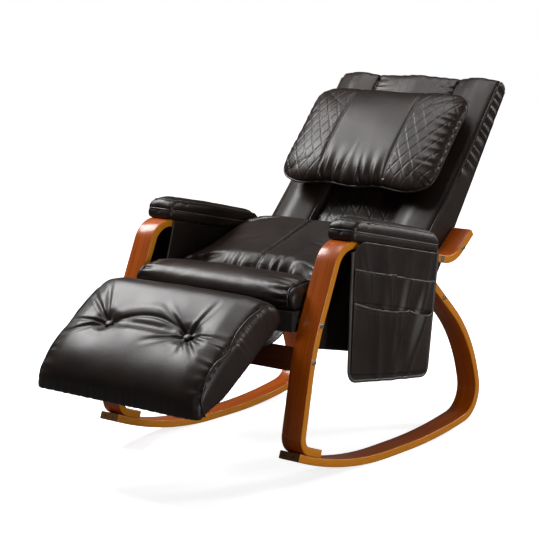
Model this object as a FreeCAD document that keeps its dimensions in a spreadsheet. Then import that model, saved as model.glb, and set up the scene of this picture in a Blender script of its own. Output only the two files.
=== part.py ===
"""Massage rocking chair: bent-ply rocker frames, upholstered seat, back, arm pads, pouches and footrest.

Frame of the part: +Z up, the chair faces -Y, +X is the sitter's left, origin on the floor under the middle.
All lengths are millimetres and all angles degrees.
"""
import FreeCAD, Part
import os
from math import asin, atan2, cos, degrees, radians, sin, sqrt, tan
from types import SimpleNamespace

from FreeCAD import Placement, Rotation, Vector

SIZES = {
    # Bent side frames
    "frame_width": 650,
    "ply_width": 60,
    "ply_thickness": 20,
    "ply_edge": 2.5,
    "rocker_front_y": -402,
    "rocker_front_radius": 1020,
    "rocker_front_run": 440,
    "rocker_front_trim": 72,
    "rocker_flat": 75,
    "rocker_rear_radius": 1600,
    "rocker_rear_turn": 9.7,
    "rear_bend_radius": 85,
    "rear_bend_turn": 92.3,
    "rear_leg_radius": 400,
    "rear_leg_turn": 36,
    "rear_leg_run": 90,
    "end_plug_radius": 2.4,
    "end_plug_height": 0.8,
    "end_plug_spacing": 26,
    "foot_heel": 152,
    "foot_bend_start": 106,
    "foot_heel_taper": 12,
    "foot_bend_radius": 45,
    "leg_lean": 11.5,
    "leg_lower_run": 131,
    "leg_bow_radius": 700,
    "leg_bow_turn": 12.5,
    "leg_upper_run": 136,
    "arm_bend_radius": 75,
    "arm_slope": 12.2,
    "arm_run": 403,
    "curl_radius": 78,
    "curl_turn": 50.2,
    "curl_run": 64,
    # Bolts through the ply edges
    "bolt_radius": 4,
    "bolt_hole_play": 0.3,
    "bolt_head_radius": 6.5,
    "bolt_head_height": 4.2,
    "bolt_head_round": 2,
    "bolt_socket_radius": 2.9,
    "bolt_socket_depth": 2.4,
    "bolt_grip": 18,
    "bolt_tail": 6,
    "bore_spare": 2,
    "rail_bolt_up_leg": 291,
    "seat_bolt_up_leg": 381,
    "seat_bolt_up_rear_leg": 66,
    "curl_bolt_up": 7,
    # Boards of the seat box
    "rail_height": 58,
    "rail_thickness": 20,
    "spacer_length": 7,
    "spacer_radius": 9,
    "seat_rail_thickness": 20,
    "seat_rail_height": 40,
    "seat_rail_overhang": 28,
    "seat_board_thickness": 8,
    "seat_board_setback": 34,
    "seat_rear_rail_set": 66,
    "strap_thickness": 4,
    "strap_radius": 11,
    "dust_cover_thickness": 2,
    "dust_cover_set": 7,
    "dust_cover_drop": 28,
    "dust_cover_length": 320,
    "curl_spacer_play": 0.3,
    # Seat upholstery
    "soft_gap": 0.3,
    "seat_side_gap": 9,
    "bolster_overhang": 31,
    "bolster_height": 72,
    "bolster_depth": 158,
    "bolster_tuck": 12,
    "bolster_shoulder": 15,
    "bolster_round": 36,
    "bolster_crown": 120,
    "seat_tuck": 6,
    "cushion_rise": 68,
    "cushion_crest_rise": 160,
    "cushion_crest_back": 432,
    "cushion_back": 464,
    "cushion_rear_rise": 104,
    "cushion_lean": 10,
    "cushion_round": 44,
    "cushion_dish": 260,
    "cushion_shoulder": 26,
    "curtain_thickness": 2.5,
    "curtain_drop": 258,
    "curtain_front_lean": 15.7,
    "curtain_top_length": 330,
    "curtain_hem_length": 386,
    # Backrest
    "back_lean": 35,
    "back_foot_y": 715,
    "back_foot_z": 400,
    "back_length": 602,
    "back_skirt": 8,
    "back_side_gap": 1.5,
    "back_wall": 4,
    "back_depth_low": 108,
    "back_depth_mid": 62,
    "back_depth_top": 37,
    "back_top_round": 16,
    "back_rail": 24,
    "back_rail_top": 590,
    "back_mid_rail": 205,
    "back_side_rail_foot": 66,
    "back_crown": 22,
    "back_edge_round": 14,
    "back_end_set": 5,
    "centre_half_width": 132,
    "centre_recess": 20,
    "centre_thickness": 14,
    "centre_crown": 4,
    "centre_top": 446,
    "centre_round": 4,
    "band_crown": 12,
    "band_round": 6,
    "pillow_side_gap": 19,
    "pillow_low": 205,
    "pillow_length": 295,
    "pillow_height": 62,
    "pillow_crown": 24,
    "pillow_round": 18,
    "pillow_travel": 40,
    "quilt_rows": 9,
    "quilt_depth": 3,
    # Massage works
    "plate_thickness": 3,
    "plate_half_width": 112,
    "plate_lap": 12,
    "gearbox_half_width": 96,
    "gearbox_half_height": 32,
    "gearbox_back_gap": 2,
    "rotor_spacing": 104,
    "rotor_up_back": 98,
    "rotor_radius": 45,
    "rotor_thickness": 4,
    "rotor_gap": 0.5,
    "rotor_shaft_radius": 6,
    "rotor_shaft_play": 0.06,
    "rotor_shaft_seat": 12,
    "dome_radius": 15,
    "dome_top_radius": 9,
    "dome_height": 12,
    "dome_offset": 28,
    "massage_motor_radius": 10.5,
    "massage_motor_length": 78,
    "massage_motor_up": 44,
    "vibrator_radius": 18,
    "vibrator_height": 26,
    "vibrator_spacing": 200,
    "vibrator_back": 190,
    "control_width": 150,
    "control_depth": 100,
    "control_height": 44,
    "control_back": 330,
    "inlet_radius": 7,
    "inlet_length": 12,
    "inlet_depth": 10,
    # Arm pads, clips and pouches
    "pad_width": 78,
    "pad_height": 42,
    "pad_crown": 9,
    "pad_round": 12,
    "pad_front": 26,
    "pad_length": 372,
    "clip_length": 14,
    "clip_thickness": 1.5,
    "clip_back": 25,
    "pouch_thickness": 3,
    "pouch_front": 30,
    "pouch_length": 372,
    "pouch_overlap": 14,
    "pouch_front_drop": 354,
    "pouch_rear_drop": 328,
    "pouch_front_lean": 2.8,
    "pouch_rear_lean": 8,
    "pouch_round": 26,
    "pouch_top_round": 4,
    "pocket_wall": 2,
    "upper_pocket_gap": 8,
    "upper_pocket_mouth": 82,
    "upper_pocket_foot": 156,
    "lower_pocket_gap": 16,
    "lower_pocket_mouth": 164,
    "lower_pocket_foot": 286,
    "pocket_margin": 0.02,
    "lower_divider": 0.66,
    # Footrest
    "foot_slope": 36,
    "foot_pivot_forward": 60,
    "foot_pivot_rise": 9,
    "foot_side_gap": 15,
    "foot_rear": 10,
    "foot_length": 350,
    "foot_board_lift": 1,
    "foot_board_thickness": 10,
    "foot_board_inset": 14,
    "foot_board_length": 232,
    "foot_nose_rise": 34,
    "foot_nose_length": 96,
    "foot_pad_height": 103,
    "foot_crown": 8,
    "foot_shoulder": 23,
    "foot_rear_round": 38,
    "foot_top_round": 400,
    "foot_nose_round": 13,
    "foot_belly_round": 60,
    "foot_hollow_inset": 22,
    "foot_hollow_height": 52,
    "tuft_spacing": 252,
    "tuft_from_rear": 156,
    "tuft_radius": 50,
    "tuft_floor_radius": 11,
    "tuft_depth": 36,
    "tuft_channel_depth": 14,
    "tuft_channel_width": 40,
    "button_radius": 10,
    "button_height": 6,
    "hinge_spacing": 300,
    "hinge_pin_radius": 4,
    "hinge_play": 0.05,
    "hinge_ear": 4,
    "hinge_lug": 22,
    "hinge_side_gap": 0.4,
    "hinge_eye_radius": 8.5,
    "hinge_head": 6.5,
    "hinge_plate": 3,
    "hinge_plate_width": 44,
    "hinge_leaf_length": 55,
    "hinge_leaf_set": 22,
    "gusset_thickness": 2.5,
    "gusset_lap": 84,
    "gusset_sag": 14,
}

doc = FreeCAD.newDocument("massage_rocking_chair")
sheet = doc.addObject("Spreadsheet::Sheet", "Sizes")
for row, (alias, value) in enumerate(SIZES.items(), start=1):
    sheet.set(f"A{row}", alias)
    sheet.set(f"B{row}", str(value))
    sheet.setAlias(f"B{row}", alias)
doc.recompute()
size = SimpleNamespace(**{alias: float(sheet.get(alias)) for alias in SIZES})

nodes = []


def right_of(heading):
    """Unit vector to the right of a heading in the side plane (depth, height)."""
    return Vector(sin(radians(heading)), -cos(radians(heading)), 0)


def ahead(heading):
    return Vector(cos(radians(heading)), sin(radians(heading)), 0)


class Track:
    """Reference edge of a bent strip in the side plane: straight runs and bends laid end to end.

    The strip lies to the right of the edge. A positive turn bends to the left.
    """

    def __init__(self, start, heading):
        self.pieces = []
        self.point = Vector(start)
        self.heading = heading

    def run(self, length):
        self.pieces.append(("run", self.point, self.heading, length, 0))
        self.point = self.point + ahead(self.heading) * length
        return self

    def bend(self, radius, turn):
        self.pieces.append(("bend", self.point, self.heading, radius, turn))
        side = -1 if turn > 0 else 1
        centre = self.point + right_of(self.heading) * (side * radius)
        self.heading += turn
        self.point = centre - right_of(self.heading) * (side * radius)
        return self

    def at(self, distance, inset):
        """Point a distance along the edge and an inset to its right, with the heading there."""
        for kind, start, heading, length, turn in self.pieces:
            span = length if kind == "run" else length * radians(abs(turn))
            if distance <= span:
                break
            distance -= span
        if kind == "run":
            return start + ahead(heading) * distance + right_of(heading) * inset, heading
        side = -1 if turn > 0 else 1
        centre = start + right_of(heading) * (side * length)
        heading -= side * degrees(distance / length)
        return centre - right_of(heading) * (side * length - inset), heading

    def edges(self, inset, trim=0):
        """The edge moved to the right by an inset, its first bend shortened by a trim angle."""
        made = []
        for kind, start, heading, length, turn in self.pieces:
            if kind == "run":
                first = start + right_of(heading) * inset
                made.append(("run", first, first + ahead(heading) * length))
                continue
            side = -1 if turn > 0 else 1
            centre = start + right_of(heading) * (side * length)
            reach = side * length - inset
            turned = [trim, (trim + turn) / 2, turn]
            first, middle, last = [centre - right_of(heading + angle) * reach for angle in turned]
            made.append(("bend", first, last, middle))
            trim = 0
        return made


def meet(point, direction, line_point, line_direction):
    """Where a line through a point crosses another line, both in the side plane."""
    gap = line_point - point
    across = direction.x * line_direction.y - direction.y * line_direction.x
    along = (gap.x * line_direction.y - gap.y * line_direction.x) / across
    return point + direction * along


def strip_outline(track, thickness, trim=0, end_line=None):
    """Closed outline of a bent strip, its far end square or cut along a line."""
    near, far = track.edges(0), track.edges(thickness, trim)
    if end_line:
        direction = ahead(track.heading)
        near[-1] = ("run", near[-1][1], meet(near[-1][1], direction, *end_line))
        far[-1] = ("run", far[-1][1], meet(far[-1][1], direction, *end_line))
    outline = []
    for edge in near + far:
        if edge[0] == "run":
            outline.append(Part.LineSegment(edge[1], edge[2]))
        else:
            outline.append(Part.Arc(edge[1], edge[3], edge[2]))
    outline.append(Part.LineSegment(near[-1][2], far[-1][2]))
    outline.append(Part.LineSegment(near[0][1], far[0][1]))
    return outline


def origin_plane(body, role):
    return next(feature for feature in body.Origin.OriginFeatures if feature.Role == role)


def padded_outline(name, outline, length, base_x, holes=(), chamfer=None, placement=None):
    """Body padded across the chair from a side-plane outline, with round holes right through."""
    body = doc.addObject("PartDesign::Body", name)
    body.Label = name
    body.Placement = placement or Placement()
    body.setExpression("Placement.Base.x", base_x)
    sketch = body.newObject("Sketcher::SketchObject", name + "_outline")
    sketch.AttachmentSupport = (origin_plane(body, "YZ_Plane"), [""])
    sketch.MapMode = "FlatFace"
    sketch.addGeometry(outline, False)
    for centre, radius in holes:
        sketch.addGeometry(Part.Circle(centre, Vector(0, 0, 1), radius), False)
    pad = body.newObject("PartDesign::Pad", name + "_pad")
    pad.Profile = sketch
    pad.setExpression("Length", length)
    if chamfer:
        doc.recompute()
        rims = []
        for number, face in enumerate(pad.Shape.Faces, start=1):
            if abs(face.normalAt(0, 0).x) > 0.99:
                rims.append(f"Face{number}")
        edge = body.newObject("PartDesign::Chamfer", name + "_edge")
        edge.Base = (pad, rims)
        edge.setExpression("Size", chamfer)
    return body


def plain_box(name, lengths, placement):
    """Box with its sizes as sheet formulas."""
    box = doc.addObject("Part::Box", name)
    box.Label = name
    for side, formula in zip(("Length", "Width", "Height"), lengths):
        box.setExpression(side, formula)
    box.Placement = placement
    return box


def cross_drill(name, radius, length, point):
    """Drill across the chair from a point, along +X."""
    drill = doc.addObject("Part::Cylinder", name)
    drill.setExpression("Radius", radius)
    drill.setExpression("Height", length)
    drill.Placement = Placement(point, Rotation(Vector(0, 1, 0), 90))
    return drill


def cut_from(name, blank, tools):
    """Node left when the tools are cut from a blank."""
    tool = tools[0]
    if len(tools) > 1:
        tool = doc.addObject("Part::MultiFuse", name + "_tools")
        tool.Shapes = tools
    cut = doc.addObject("Part::Cut", name)
    cut.Label = name
    cut.Base = blank
    cut.Tool = tool
    nodes.append(cut)


def shaped(name, shape, placement=None):
    """Node whose shape is made here from the sheet's sizes and then placed."""
    feature = doc.addObject("Part::Feature", name)
    feature.Label = name
    feature.Shape = shape
    feature.Placement = placement or Placement()
    nodes.append(feature)


CORNER_STEPS = 4


def rounded_loop(corners, radii, lift):
    """Closed wire whose corners are rounded off in short straight steps.

    The lift turns each flat (u, v) pair into a point in space.
    """
    count = len(corners)
    points = []
    for index, corner in enumerate(corners):
        here = Vector(corner[0], corner[1], 0)
        back = Vector(*corners[index - 1], 0) - here
        onward = Vector(*corners[(index + 1) % count], 0) - here
        half = back.getAngle(onward) / 2
        room = 0.48 * min(back.Length, onward.Length)
        reach = min(radii[index] / tan(half), room)
        radius = reach * tan(half)
        first = here + back.normalize() * reach
        last = here + onward.normalize() * reach
        centre = here + (back + onward).normalize() * (radius / sin(half))
        sweep = Rotation(first - centre, last - centre)
        for step in range(CORNER_STEPS + 1):
            turned = Rotation(sweep.Axis, degrees(sweep.Angle) * step / CORNER_STEPS)
            spot = centre + turned.multVec(first - centre)
            points.append(lift(spot.x, spot.y))
    return Part.makePolygon(points + points[:1])


def loft(wires):
    return Part.makeLoft(wires, True, True)


# Fullness of a cushion from one side to the other, and of a long pad from its start to its end
ACROSS = [(-1, 0.70), (-0.95, 0.90), (-0.78, 0.98), (0, 1.0), (0.78, 0.98), (0.95, 0.90), (1, 0.70)]
ALONG = [(0, 0.62), (0.02, 0.82), (0.07, 0.95), (0.5, 1.0), (0.93, 0.95), (0.98, 0.82), (1, 0.62)]
CROWN = [(1, 0), (0, 1), (-1, 0)]


def cushion(corners, half_width, drawn=0.3, stations=ACROSS):
    """Cushion across the chair from its mid profile: thinner and drawn in towards both ends.

    The corners are (depth, height, corner radius) and start along the flat underside.
    """
    depths = [depth for depth, height, radius in corners]
    radii = [radius for depth, height, radius in corners]
    middle = (min(depths) + max(depths)) / 2
    floor = corners[0][1]
    wires = []
    for place, fullness in stations:
        pull = 1 - drawn * (1 - fullness)
        profile = []
        for depth, height, radius in corners:
            profile.append((middle + (depth - middle) * pull, floor + (height - floor) * fullness))
        x = place * half_width
        wires.append(rounded_loop(profile, radii, lambda u, v, x=x: Vector(x, u, v)))
    return loft(wires)


def long_pad(stations, edge_round, top=CROWN):
    """Long pad along local Y; each station is (along, low x, high x, underside, shoulder, crown)."""
    wires = []
    for along, x_low, x_high, under, shoulder, crown in stations:
        middle, half = (x_low + x_high) / 2, (x_high - x_low) / 2
        corners = [(x_low, under), (x_high, under)]
        rounds = [edge_round / 4, edge_round / 4]
        for across, lift in top:
            corners.append((middle + across * half, shoulder + lift * (crown - shoulder)))
            rounds.append(edge_round if abs(across) == 1 else half)
        wires.append(rounded_loop(corners, rounds, lambda u, v, y=along: Vector(u, y, v)))
    return loft(wires)


def cylinder_x(radius, x_from, x_to, depth, height):
    return Part.makeCylinder(radius, x_to - x_from, Vector(x_from, depth, height), Vector(1, 0, 0))


def side_point(point, x=0.0):
    """Point in space from a side-plane point."""
    return Vector(x, point.x, point.y)


SIDES = (("left", 1), ("right", -1))
half_frame = size.frame_width / 2
ply_inner = half_frame - size.ply_width
INNER = "Sizes.frame_width / 2 - Sizes.ply_width"
seat_half = ply_inner - size.seat_side_gap
back_half = ply_inner - size.back_side_gap
pillow_half = ply_inner - size.pillow_side_gap
foot_half = ply_inner - size.foot_side_gap

# Side-plane edges of the bent strips
front_angle = degrees(asin(size.rocker_front_run / size.rocker_front_radius))
rocker_centre = Vector(size.rocker_front_y + size.rocker_front_run, size.rocker_front_radius, 0)
front_angle -= degrees(size.rocker_front_trim / size.rocker_front_radius)


def on_rocker(angle, inset):
    """Point of the runner's front arc at an angle ahead of the flat, an inset above its underside."""
    reach = size.rocker_front_radius - inset
    return rocker_centre + Vector(-sin(radians(angle)), -cos(radians(angle)), 0) * reach


rocker_track = Track(on_rocker(front_angle, size.ply_thickness), -front_angle)
rocker_track.bend(size.rocker_front_radius - size.ply_thickness, front_angle)
rocker_track.run(size.rocker_flat)
rocker_track.bend(size.rocker_rear_radius - size.ply_thickness, size.rocker_rear_turn)
rocker_track.bend(size.rear_bend_radius - size.ply_thickness, size.rear_bend_turn)
rocker_track.bend(size.rear_leg_radius - size.ply_thickness, size.rear_leg_turn)
rear_leg_start = sum(
    length if kind == "run" else length * radians(abs(turn))
    for kind, start, heading, length, turn in rocker_track.pieces
)
rocker_track.run(size.rear_leg_run)

foot_radius = size.rocker_front_radius - size.ply_thickness
heel_angle = degrees(asin((size.rocker_front_run - size.foot_heel) / foot_radius))
bend_angle = degrees(asin((size.rocker_front_run - size.foot_bend_start) / foot_radius))
leg_track = Track(on_rocker(heel_angle, size.ply_thickness), 180 - heel_angle)
leg_track.bend(foot_radius, heel_angle - bend_angle)
leg_track.bend(size.foot_bend_radius, 90 - size.leg_lean - leg_track.heading)
leg_track.run(size.leg_lower_run)
leg_track.bend(size.leg_bow_radius, -size.leg_bow_turn)
leg_track.run(size.leg_upper_run)
leg_track.bend(size.arm_bend_radius, -size.arm_slope - leg_track.heading)
arm_start = Vector(leg_track.point)
leg_track.run(size.arm_run)
leg_track.bend(size.curl_radius, size.curl_turn)
curl_start = sum(
    length if kind == "run" else length * radians(abs(turn))
    for kind, start, heading, length, turn in leg_track.pieces
)
leg_track.run(size.curl_run)

arm_along = ahead(-size.arm_slope)
arm_under = arm_start + right_of(-size.arm_slope) * size.ply_thickness
middle_ply = size.ply_thickness / 2

rail_bolt, rail_heading = leg_track.at(size.rail_bolt_up_leg, middle_ply)
seat_bolt = leg_track.at(size.seat_bolt_up_leg, middle_ply)[0]
rear_bolt = rocker_track.at(rear_leg_start + size.seat_bolt_up_rear_leg, middle_ply)[0]
curl_bolt = leg_track.at(curl_start + size.curl_bolt_up, middle_ply)[0]

# Local frames of the seat box, the arms, the backrest and the footrest
ABOUT_X = Vector(1, 0, 0)
seat_run = rear_bolt - seat_bolt
seat_tilt = degrees(atan2(seat_run.y, seat_run.x))
seat_span = seat_run.Length
seat_place = Placement(side_point(seat_bolt), Rotation(ABOUT_X, seat_tilt))
arm_place = Placement(side_point(arm_start), Rotation(ABOUT_X, -size.arm_slope))
back_foot = Vector(0, size.rocker_front_y + size.back_foot_y, size.back_foot_z)
back_place = Placement(back_foot, Rotation(ABOUT_X, 90 - size.back_lean))
foot_pivot = seat_place.multVec(Vector(0, -size.foot_pivot_forward, size.foot_pivot_rise))
foot_place = Placement(foot_pivot, Rotation(ABOUT_X, size.foot_slope))
rail_tilt = Placement(side_point(rail_bolt), Rotation(ABOUT_X, rail_heading - 90))


def inside(frame, x, y, z):
    """Placement in a local frame, moved to a local corner."""
    return frame.multiply(Placement(Vector(x, y, z), Rotation()))


# Bent side frames
hole = size.bolt_radius + size.bolt_hole_play
for side, sign in SIDES:
    ply_x = INNER if sign > 0 else "-Sizes.frame_width / 2"
    rocker = strip_outline(rocker_track, size.ply_thickness, end_line=(arm_under, arm_along))
    heel_trim = -degrees(size.foot_heel_taper / foot_radius)
    leg_arm = strip_outline(leg_track, size.ply_thickness, heel_trim)
    leg_holes = [(rail_bolt, hole), (seat_bolt, hole), (curl_bolt, hole)]
    for name, outline, holes in (
        ("rocker", rocker, [(rear_bolt, hole)]),
        ("leg_arm", leg_arm, leg_holes),
    ):
        nodes.append(
            padded_outline(f"{side}_{name}", outline, "Sizes.ply_width", ply_x, holes, "Sizes.ply_edge")
        )

# Plugs in the front end of each runner
end_middle = (on_rocker(front_angle, 0) + on_rocker(front_angle, size.ply_thickness)) / 2
end_out = side_point(ahead(-front_angle) * -1)
end_up = side_point(ahead(90 - front_angle))
plugs = []
for sign in (1, -1):
    for across in (-0.5, 0.5):
        x = sign * (half_frame - size.ply_width / 2) + across * size.end_plug_spacing
        rim = []
        for turn in range(0, 361, 45):
            out = ahead(turn) * size.end_plug_radius
            rim.append(side_point(end_middle, x) + Vector(out.x, 0, 0) + end_up * out.y)
        plugs.append(Part.Face(Part.makePolygon(rim)).extrude(end_out * size.end_plug_height))
shaped("runner_end_plugs", Part.Compound(plugs))

# Bolts, each from the ply's outer face to where its thread ends
rail_outer = ply_inner - size.spacer_length
rail_inner = rail_outer - size.seat_rail_thickness
strap_inner = rail_inner - size.strap_thickness
bolt_ends = (
    (rail_bolt, ply_inner - size.bolt_grip),
    (seat_bolt, rail_outer - size.bolt_grip),
    (rear_bolt, strap_inner - size.bolt_tail),
    (curl_bolt, strap_inner - size.bolt_grip),
)


def button_bolt(length):
    """Button-head bolt along -X from the origin, its head outside with a six-sided socket."""
    shank = cylinder_x(size.bolt_radius, -length, 0, 0, 0)
    head_top = size.bolt_head_radius - size.bolt_head_round
    head = Part.makeCone(size.bolt_head_radius, head_top, size.bolt_head_height, Vector(), ABOUT_X)
    floor_x = size.bolt_head_height - size.bolt_socket_depth
    corners = []
    for turn in range(0, 361, 60):
        out = ahead(turn) * size.bolt_socket_radius
        corners.append(Vector(floor_x, out.x, out.y))
    socket = Part.Face(Part.makePolygon(corners)).extrude(Vector(size.bolt_head_height, 0, 0))
    return shank.fuse(head).removeSplitter().cut(socket)


def mirrored(shape):
    return shape.mirror(Vector(0, 0, 0), ABOUT_X)


bolts, spacers = [], []
for point, end_x in bolt_ends:
    bolt = button_bolt(half_frame - end_x)
    bolt.translate(side_point(point, half_frame))
    bolts += [bolt, mirrored(bolt)]
for point, end_x in ((seat_bolt, rail_outer), (rear_bolt, rail_outer), (curl_bolt, rail_inner)):
    ring = cylinder_x(size.spacer_radius, end_x, ply_inner, point.x, point.y)
    ring = ring.cut(cylinder_x(hole, end_x, ply_inner, point.x, point.y))
    spacers += [ring, mirrored(ring)]
shaped("frame_bolts", Part.Compound(bolts))
shaped("bolt_spacers", Part.Compound(spacers))

# Front rail between the legs, bored at both ends
DRILL = "Sizes.bolt_radius + Sizes.bolt_hole_play"
BORE_DEPTH = "Sizes.bolt_grip + Sizes.bore_spare"
bore_depth = size.bolt_grip + size.bore_spare
rail_blank = plain_box(
    "front_rail_blank",
    (f"2 * ({INNER})", "Sizes.rail_thickness", "Sizes.rail_height"),
    inside(rail_tilt, -ply_inner, -size.rail_thickness / 2, -size.rail_height / 2),
)
rail_bores = []
for number, start_x in enumerate((-ply_inner, ply_inner - bore_depth)):
    start = side_point(rail_bolt, start_x)
    rail_bores.append(cross_drill(f"front_rail_bore_{number}", DRILL, BORE_DEPTH, start))
cut_from("front_rail", rail_blank, rail_bores)

# Seat box
half_rail = size.seat_rail_height / 2
rail_length = f"{seat_span} + 2 * Sizes.seat_rail_overhang"
for side, sign in SIDES:
    start_x = rail_inner if sign > 0 else -rail_outer
    rail = plain_box(
        f"{side}_seat_rail_blank",
        ("Sizes.seat_rail_thickness", rail_length, "Sizes.seat_rail_height"),
        inside(seat_place, start_x, -size.seat_rail_overhang, -half_rail),
    )
    bores = []
    for label, point in (("front", seat_bolt), ("rear", rear_bolt)):
        start = side_point(point, start_x)
        bore_name = f"{side}_seat_rail_{label}_bore"
        bores.append(cross_drill(bore_name, DRILL, "Sizes.seat_rail_thickness", start))
    cut_from(f"{side}_seat_rail", rail, bores)

BETWEEN = f"2 * ({INNER} - Sizes.spacer_length - Sizes.seat_rail_thickness)"
cross_rail = (BETWEEN, "Sizes.seat_rail_thickness", "Sizes.seat_rail_height")
rear_rail_y = seat_span - size.seat_rear_rail_set
for name, start_y in (("seat_front_rail", -size.seat_rail_overhang), ("seat_rear_rail", rear_rail_y)):
    nodes.append(plain_box(name, cross_rail, inside(seat_place, -rail_inner, start_y, -half_rail)))
board_size = (
    f"2 * ({INNER} - Sizes.spacer_length)",
    f"{seat_span} + Sizes.seat_rail_overhang - Sizes.seat_board_setback",
    "Sizes.seat_board_thickness",
)
board_place = inside(seat_place, -rail_outer, -size.seat_rail_overhang, half_rail)
nodes.append(plain_box("seat_board", board_size, board_place))

strap_run = curl_bolt - rear_bolt
strap_heading = degrees(atan2(strap_run.y, strap_run.x))
straps = []
for end_point in (rear_bolt, curl_bolt):
    straps.append(cylinder_x(size.strap_radius, strap_inner, rail_inner, end_point.x, end_point.y))
bar = Part.makeBox(size.strap_thickness, strap_run.Length, 2 * size.strap_radius)
bar.Placement = inside(
    Placement(side_point(rear_bolt), Rotation(ABOUT_X, strap_heading)), strap_inner, 0, -size.strap_radius
)
strap = straps[0].fuse([straps[1], bar]).removeSplitter()
for end_point in (rear_bolt, curl_bolt):
    strap = strap.cut(cylinder_x(hole, strap_inner, rail_inner, end_point.x, end_point.y))
shaped("back_straps", Part.Compound([strap, mirrored(strap)]))


def sagging_sheet(first, last, sag, thickness, half_width):
    """Sheet across the chair that hangs in an arc between two points of a local side plane."""
    aside = Vector(-half_width, 0, 0)
    drop = Vector(0, 0, -thickness)
    upper = [first + aside, (first + last) / 2 + aside - Vector(0, 0, sag), last + aside]
    lower = [point + drop for point in upper]
    edges = [
        Part.Arc(*upper),
        Part.LineSegment(upper[2], lower[2]),
        Part.Arc(*reversed(lower)),
        Part.LineSegment(lower[0], upper[0]),
    ]
    outline = Part.Wire([edge.toShape() for edge in edges])
    return Part.Face(outline).extrude(Vector(2 * half_width, 0, 0))


cover_z = -half_rail - size.soft_gap
cover_y = size.dust_cover_set - size.seat_rail_overhang
shaped(
    "dust_cover",
    sagging_sheet(
        Vector(0, cover_y, cover_z),
        Vector(0, cover_y + size.dust_cover_length, cover_z),
        size.dust_cover_drop,
        size.dust_cover_thickness,
        rail_outer,
    ),
    seat_place,
)

# Seat upholstery
seat_floor = half_rail + size.seat_board_thickness + size.soft_gap
roll_front = -size.bolster_overhang
roll_back = roll_front + size.bolster_depth
shoulder_z = seat_floor + 0.88 * size.bolster_height
roll_corners = [
    (roll_front + size.bolster_tuck, seat_floor, size.bolster_tuck),
    (roll_back - size.seat_tuck, seat_floor, size.seat_tuck),
    (roll_back, seat_floor + 0.5 * size.bolster_height, size.bolster_round),
    (roll_back - size.bolster_shoulder, shoulder_z, size.bolster_round),
    (roll_front + 0.48 * size.bolster_depth, seat_floor + size.bolster_height, size.bolster_crown),
    (roll_front + size.bolster_shoulder, shoulder_z, size.bolster_round),
    (roll_front, seat_floor + 0.45 * size.bolster_height, size.bolster_round),
]
shaped("front_bolster", cushion(roll_corners, seat_half), seat_place)

cushion_front = roll_back + 2 * size.soft_gap
crest_y = size.cushion_crest_back
seat_corners = [
    (cushion_front + size.seat_tuck, seat_floor, size.seat_tuck),
    (size.cushion_back - size.seat_tuck, seat_floor, size.seat_tuck),
    (size.cushion_back, seat_floor + 0.5 * size.cushion_rear_rise, size.cushion_round),
    (size.cushion_back + size.cushion_lean, seat_floor + size.cushion_rear_rise, size.cushion_round),
    (crest_y, seat_floor + size.cushion_crest_rise, size.cushion_round),
    (0.55 * crest_y, seat_floor + 0.56 * size.cushion_crest_rise, size.cushion_dish),
    (cushion_front + size.cushion_shoulder, seat_floor + size.cushion_rise, size.cushion_shoulder),
    (cushion_front, seat_floor + 0.55 * size.cushion_rise, size.cushion_shoulder),
]
SEAT_SEAM = [(-0.05, 0.998), (0, 0.975), (0.05, 0.998)]
seat_stations = ACROSS[:3] + SEAT_SEAM + ACROSS[4:]
shaped(
    "seat_cushion",
    cushion(seat_corners, seat_half, stations=seat_stations),
    seat_place,
)

curtain_top = arm_start + right_of(-size.arm_slope) * middle_ply
hem_front = curtain_top + ahead(-90 - size.curtain_front_lean) * size.curtain_drop
curtain_corners = [
    curtain_top,
    hem_front,
    hem_front + arm_along * size.curtain_hem_length,
    curtain_top + arm_along * size.curtain_top_length,
]


def straight_outline(corners):
    return [Part.LineSegment(corners[index - 1], corner) for index, corner in enumerate(corners)]


for side, sign in SIDES:
    hang_x = f"{INNER} - Sizes.soft_gap"
    curtain_x = f"{hang_x} - Sizes.curtain_thickness" if sign > 0 else f"-({hang_x})"
    outline = straight_outline(curtain_corners)
    nodes.append(padded_outline(f"{side}_curtain", outline, "Sizes.curtain_thickness", curtain_x))

# Backrest frame
rail_floor = size.back_wall + size.soft_gap
rail_top = rail_floor + size.back_rail
back_side_inner = strap_inner - size.back_rail


def side_rail_top(up):
    """Front face of the tapered side rails at a height up the back."""
    taper = (size.back_side_rail_foot - size.back_rail) / size.back_rail_top
    return rail_floor + size.back_side_rail_foot - taper * up


side_rail_corners = [
    Vector(0, rail_floor, 0),
    Vector(size.back_rail_top, rail_floor, 0),
    Vector(size.back_rail_top, side_rail_top(size.back_rail_top), 0),
    Vector(0, side_rail_top(0), 0),
]
bolt_in_back = back_place.inverse().multVec(side_point(curl_bolt))
outer = f"({BETWEEN}) / 2 - Sizes.strap_thickness"
for side, sign in SIDES:
    nodes.append(
        padded_outline(
            f"{side}_back_rail",
            straight_outline(side_rail_corners),
            "Sizes.back_rail",
            f"{outer} - Sizes.back_rail" if sign > 0 else f"-({outer})",
            [(Vector(bolt_in_back.y, bolt_in_back.z, 0), hole)],
            placement=back_place,
        )
    )
back_cross = (f"2 * {back_side_inner}", "Sizes.back_rail", "Sizes.back_rail")
for name, up in (
    ("back_bottom_rail", 0),
    ("back_middle_rail", size.back_mid_rail),
    ("back_top_rail", size.back_rail_top - size.back_rail),
):
    nodes.append(plain_box(name, back_cross, inside(back_place, -back_side_inner, up, rail_floor)))


def back_depth(up):
    """Depth of the back's side boxing at a height up the back: a parabola through three sizes."""
    part = up / size.back_length
    bow = 2 * (size.back_depth_low + size.back_depth_top) - 4 * size.back_depth_mid
    slope = size.back_depth_top - size.back_depth_low - bow
    return size.back_depth_low + slope * part + bow * part * part


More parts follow.
